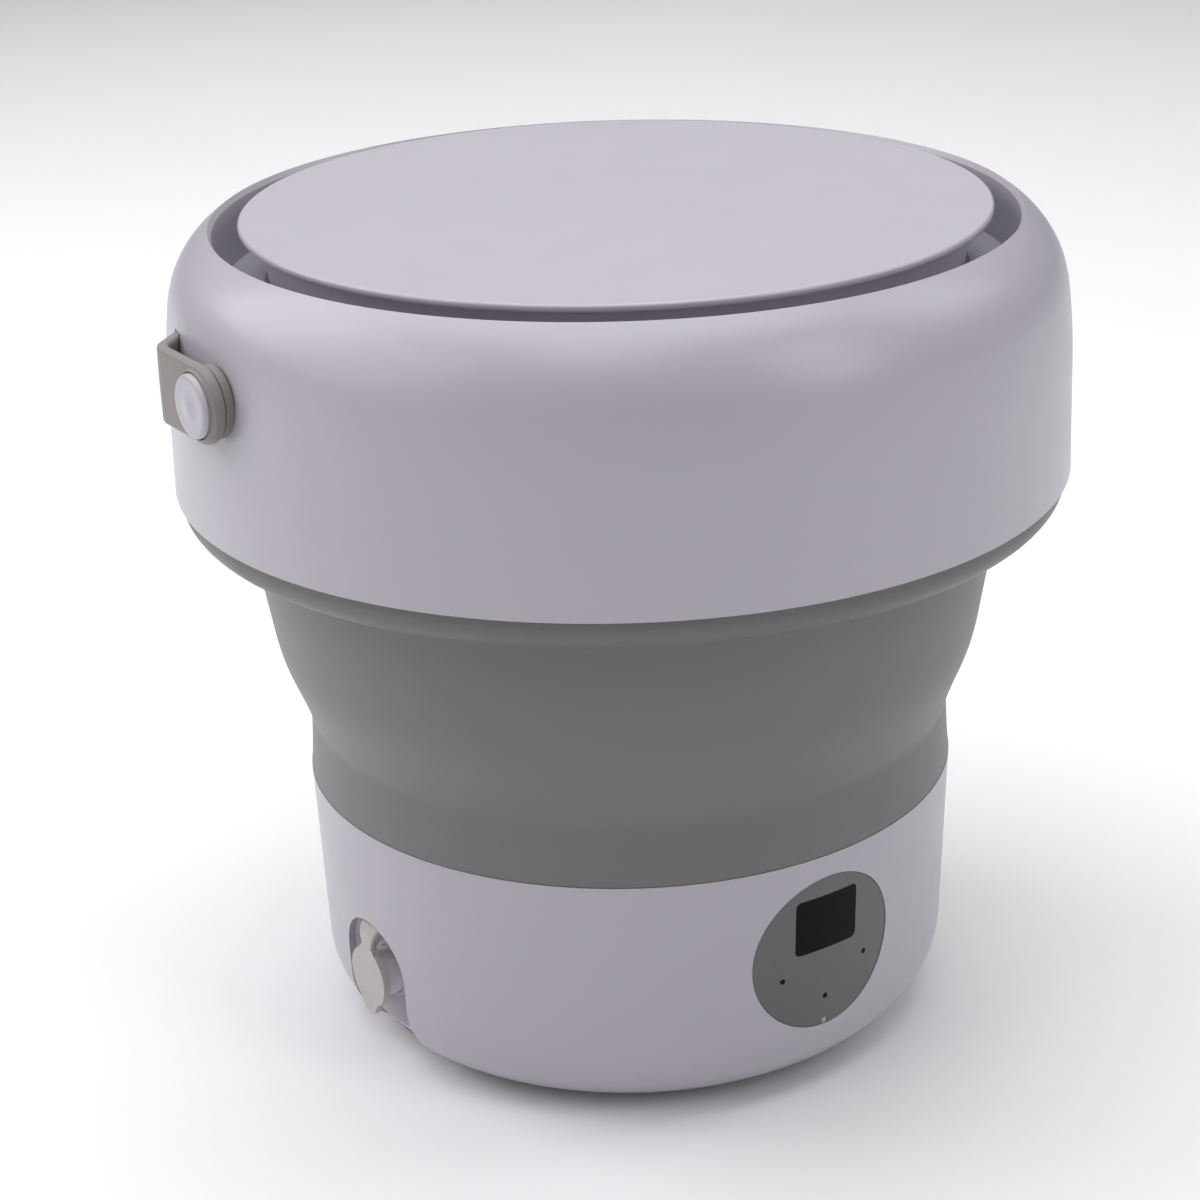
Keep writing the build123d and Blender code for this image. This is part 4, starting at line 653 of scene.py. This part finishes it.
# drain plug: a soft disc with a pull tab below and a neck above
plugShape = {
    "side": -3.0,
    "height": 43.0,
    "radius": 13.0,
    "tabHalf": 5.2,
    "tabReach": 17.4,
    "neckHalf": 4.2,
    "neckReach": 15.6,
    "back": 133.0,
    "thickness": 3.0,
    "edge": 0.9,
    "melt": 1.1,
    # radius, and place out from the drum's axis, of the stem that fills the spout
    "stem": (
        (0.0, 123.0), (6.6, 123.0), (7.2, 124.5), (6.8, 129.0),
        (7.2, 130.5), (7.2, 133.2), (0.0, 133.2),
    ),
}


def plugReach(p, angle):
    # distance from the disc's centre to the edge of disc, tab and neck, melted together
    dx, dy = math.cos(angle), math.sin(angle)

    def outside(d):
        x, y = dx * d, dy * d
        disc = math.hypot(x, y) - p["radius"]
        tab = math.hypot(x, y + max(0.0, min(-y, p["tabReach"] - p["tabHalf"]))) - p["tabHalf"]
        neck = math.hypot(x, y - max(0.0, min(y, p["neckReach"] - p["neckHalf"] * 0.6))) - p["neckHalf"]
        joined = disc
        for other in (tab, neck):
            h = max(0.0, min(1.0, 0.5 + 0.5 * (other - joined) / p["melt"]))
            joined = other * (1 - h) + joined * h - p["melt"] * h * (1 - h)
        return joined

    low, high = 4.0, 24.0
    for _ in range(40):
        middle = (low + high) / 2
        low, high = (middle, high) if outside(middle) < 0 else (low, middle)
    return low


def platePiece(outline, thickness, edge, toPlace):
    # a flat plate with rounded edges from an outline, then put in place point by point
    mesh = bpy.data.meshes.new("plate")
    bm = bmesh.new()
    back = [bm.verts.new((x, y, 0.0)) for x, y in outline]
    front = [bm.verts.new((x, y, thickness)) for x, y in outline]
    bm.faces.new(list(reversed(back)))
    bm.faces.new(front)
    for i in range(len(outline)):
        j = (i + 1) % len(outline)
        bm.faces.new((back[i], back[j], front[j], front[i]))
    rims = [e for e in bm.edges if len({round(v.co.z, 6) for v in e.verts}) == 1]
    bmesh.ops.bevel(bm, geom=rims, offset=edge, segments=5, profile=0.5, affect="EDGES")
    for v in bm.verts:
        v.co = Vector(toPlace(*v.co)) * mm
    bmesh.ops.recalc_face_normals(bm, faces=bm.faces)
    bm.to_mesh(mesh)
    bm.free()
    return mesh


def onDrain(across, up, out):
    return (-(plugShape["back"] + out), plugShape["side"] - across, plugShape["height"] + up)


plugOutline = []
for k in range(180):
    a = 2 * math.pi * k / 180
    d = plugReach(plugShape, a)
    plugOutline.append((d * math.cos(a), d * math.sin(a)))
plugPlate = platePiece(plugOutline, plugShape["thickness"], plugShape["edge"], onDrain)
plugDisc = newPiece("plugDisc", plugPlate, "plugWhite", 60)
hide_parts("drain_plug")
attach(plugDisc, "drain_plug")
drainAround = ((0, plugShape["side"], plugShape["height"]), (-1, 0, 0), (0, 0, 1))
plugStem = newPiece("plugStem", turned(plugShape["stem"], drainAround, 64), "plugWhite", 30)
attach(plugStem, "drain_plug")

# tether: a flat loop from the plug's neck over to its ring on the spout
tetherShape = {
    "path": (
        (134.9, 57.6), (134.95, 60.0), (134.6, 62.6), (133.0, 65.0), (130.2, 66.1),
        (127.4, 65.0), (125.2, 62.4), (124.3, 59.0), (124.1, 54.6),
    ),
    "halfWidths": (3.9, 4.5, 5.5, 6.3, 6.5, 6.2, 5.6, 5.0, 4.7),
    "thickness": 2.2,
    "edge": 0.7,
    "ring": (10.2, 12.2, 123.1, 125.0),
}


def tetherMesh(t):
    path = flowing(t["path"], 6)
    widths = [w for w, _ in flowing([(w, 0.0) for w in t["halfWidths"]], 6)]
    bm = bmesh.new()
    loops = []
    for i, (out, up) in enumerate(path):
        before, after = path[max(0, i - 1)], path[min(len(path) - 1, i + 1)]
        along = Vector((after[0] - before[0], after[1] - before[1])).normalized()
        normal = Vector((along.y, -along.x))
        half, thick, edge = widths[i], t["thickness"] / 2, t["edge"]
        loop = []
        for cx, cy, start in ((1, 1, 0), (-1, 1, 1), (-1, -1, 2), (1, -1, 3)):
            for k in range(5):
                a = math.pi / 2 * (start + k / 4)
                across = cx * (half - edge) + edge * math.cos(a)
                lift = cy * (thick - edge) + edge * math.sin(a)
                point = Vector((-(out + normal.x * lift), plugShape["side"] + across, up + normal.y * lift))
                loop.append(bm.verts.new(point * mm))
        loops.append(loop)
    for one, two in zip(loops, loops[1:]):
        for i in range(len(one)):
            j = (i + 1) % len(one)
            bm.faces.new((one[i], one[j], two[j], two[i]))
    bm.faces.new(loops[0])
    bm.faces.new(list(reversed(loops[-1])))
    part = turned(softened(ringSection(*t["ring"]), 0.6), drainAround, 80)
    bm.from_mesh(part)
    bpy.data.meshes.remove(part)
    bmesh.ops.recalc_face_normals(bm, faces=bm.faces)
    mesh = bpy.data.meshes.new("plugTether")
    bm.to_mesh(mesh)
    bm.free()
    return mesh


plugTether = newPiece("plugTether", tetherMesh(tetherShape), "plugWhite", 50)
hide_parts("drain_tether")
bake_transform(plugTether)
print("plug and tether made")

# floor and lights: a plain pale studio
studio = {
    "floorColour": (0.93, 0.93, 0.935),
    "world": (1.0, 1.0, 1.0),
    "worldStrength": 0.03,
    # name, way round from the camera, distance, height, aim height, width, height of the box, power, tint
    "lamps": (
        ("overhead", 0, 0.0, 2.6, 0.2, 2.4, 2.4, 43.0, (0.99, 1.0, 1.03)),
        ("farFloor", 180, 2.4, 2.8, -5.5, 3.2, 3.2, 32.0, (1.0, 1.0, 1.0)),
        ("rightBox", 52, 2.2, 1.4, 0.45, 0.9, 1.7, 14.0, (1.0, 0.985, 1.0)),
        ("rightBack", 104, 2.0, 1.8, 0.35, 1.0, 1.3, 10.0, (1.0, 0.99, 1.0)),
        ("leftBox", -66, 2.2, 1.5, 0.4, 1.7, 2.1, 17.5, (1.0, 0.985, 1.0)),
        ("leftBack", -106, 2.0, 1.65, 0.35, 1.5, 1.8, 25.0, (1.0, 0.99, 1.0)),
        ("front", -8, 1.9, 2.6, 0.2, 1.4, 1.2, 7.0, (1.0, 0.975, 0.995)),
        ("back", 180, 2.6, 1.2, 0.2, 2.4, 1.2, 3.0, (1.0, 1.0, 1.0)),
    ),
}


def makeStudio(s):
    finish = Finish("paleFloor")
    mottle = finish.noise(3.0, 2.0, 0.5)
    colour = finish.blend(mottle, shade(s["floorColour"], 0.99), shade(s["floorColour"], 1.01))
    finish.surface(Base_Color=colour, Roughness=0.7 + mottle * 0.1)
    mesh = bpy.data.meshes.new("floor")
    mesh.from_pydata([(-9, -9, 0), (9, -9, 0), (9, 9, 0), (-9, 9, 0)], [], [(0, 1, 2, 3)])
    mesh.materials.append(finish.material)
    floor = bpy.data.objects.new("floor", mesh)
    scene.collection.objects.link(floor)
    world = bpy.data.worlds.new("studio")
    world.use_nodes = True
    sky = world.node_tree.nodes["Background"]
    sky.inputs["Color"].default_value = s["world"] + (1.0,)
    sky.inputs["Strength"].default_value = s["worldStrength"]
    scene.world = world
    ahead = -Vector(cameraView["forward"]).to_2d().normalized()
    for name, around, away, height, aim, wide, tall, power, tint in s["lamps"]:
        data = bpy.data.lights.new(name, "AREA")
        data.shape = "RECTANGLE"
        data.size, data.size_y = wide, tall
        data.energy = power
        data.color = tint
        lamp = bpy.data.objects.new(name, data)
        scene.collection.objects.link(lamp)
        out = ahead.copy()
        out.rotate(Matrix.Rotation(math.radians(around), 2))
        lamp.location = (out.x * away, out.y * away, height)
        lamp.rotation_euler = (Vector((0, 0, aim)) - lamp.location).to_track_quat("-Z", "Y").to_euler()


makeStudio(studio)
print("studio made")
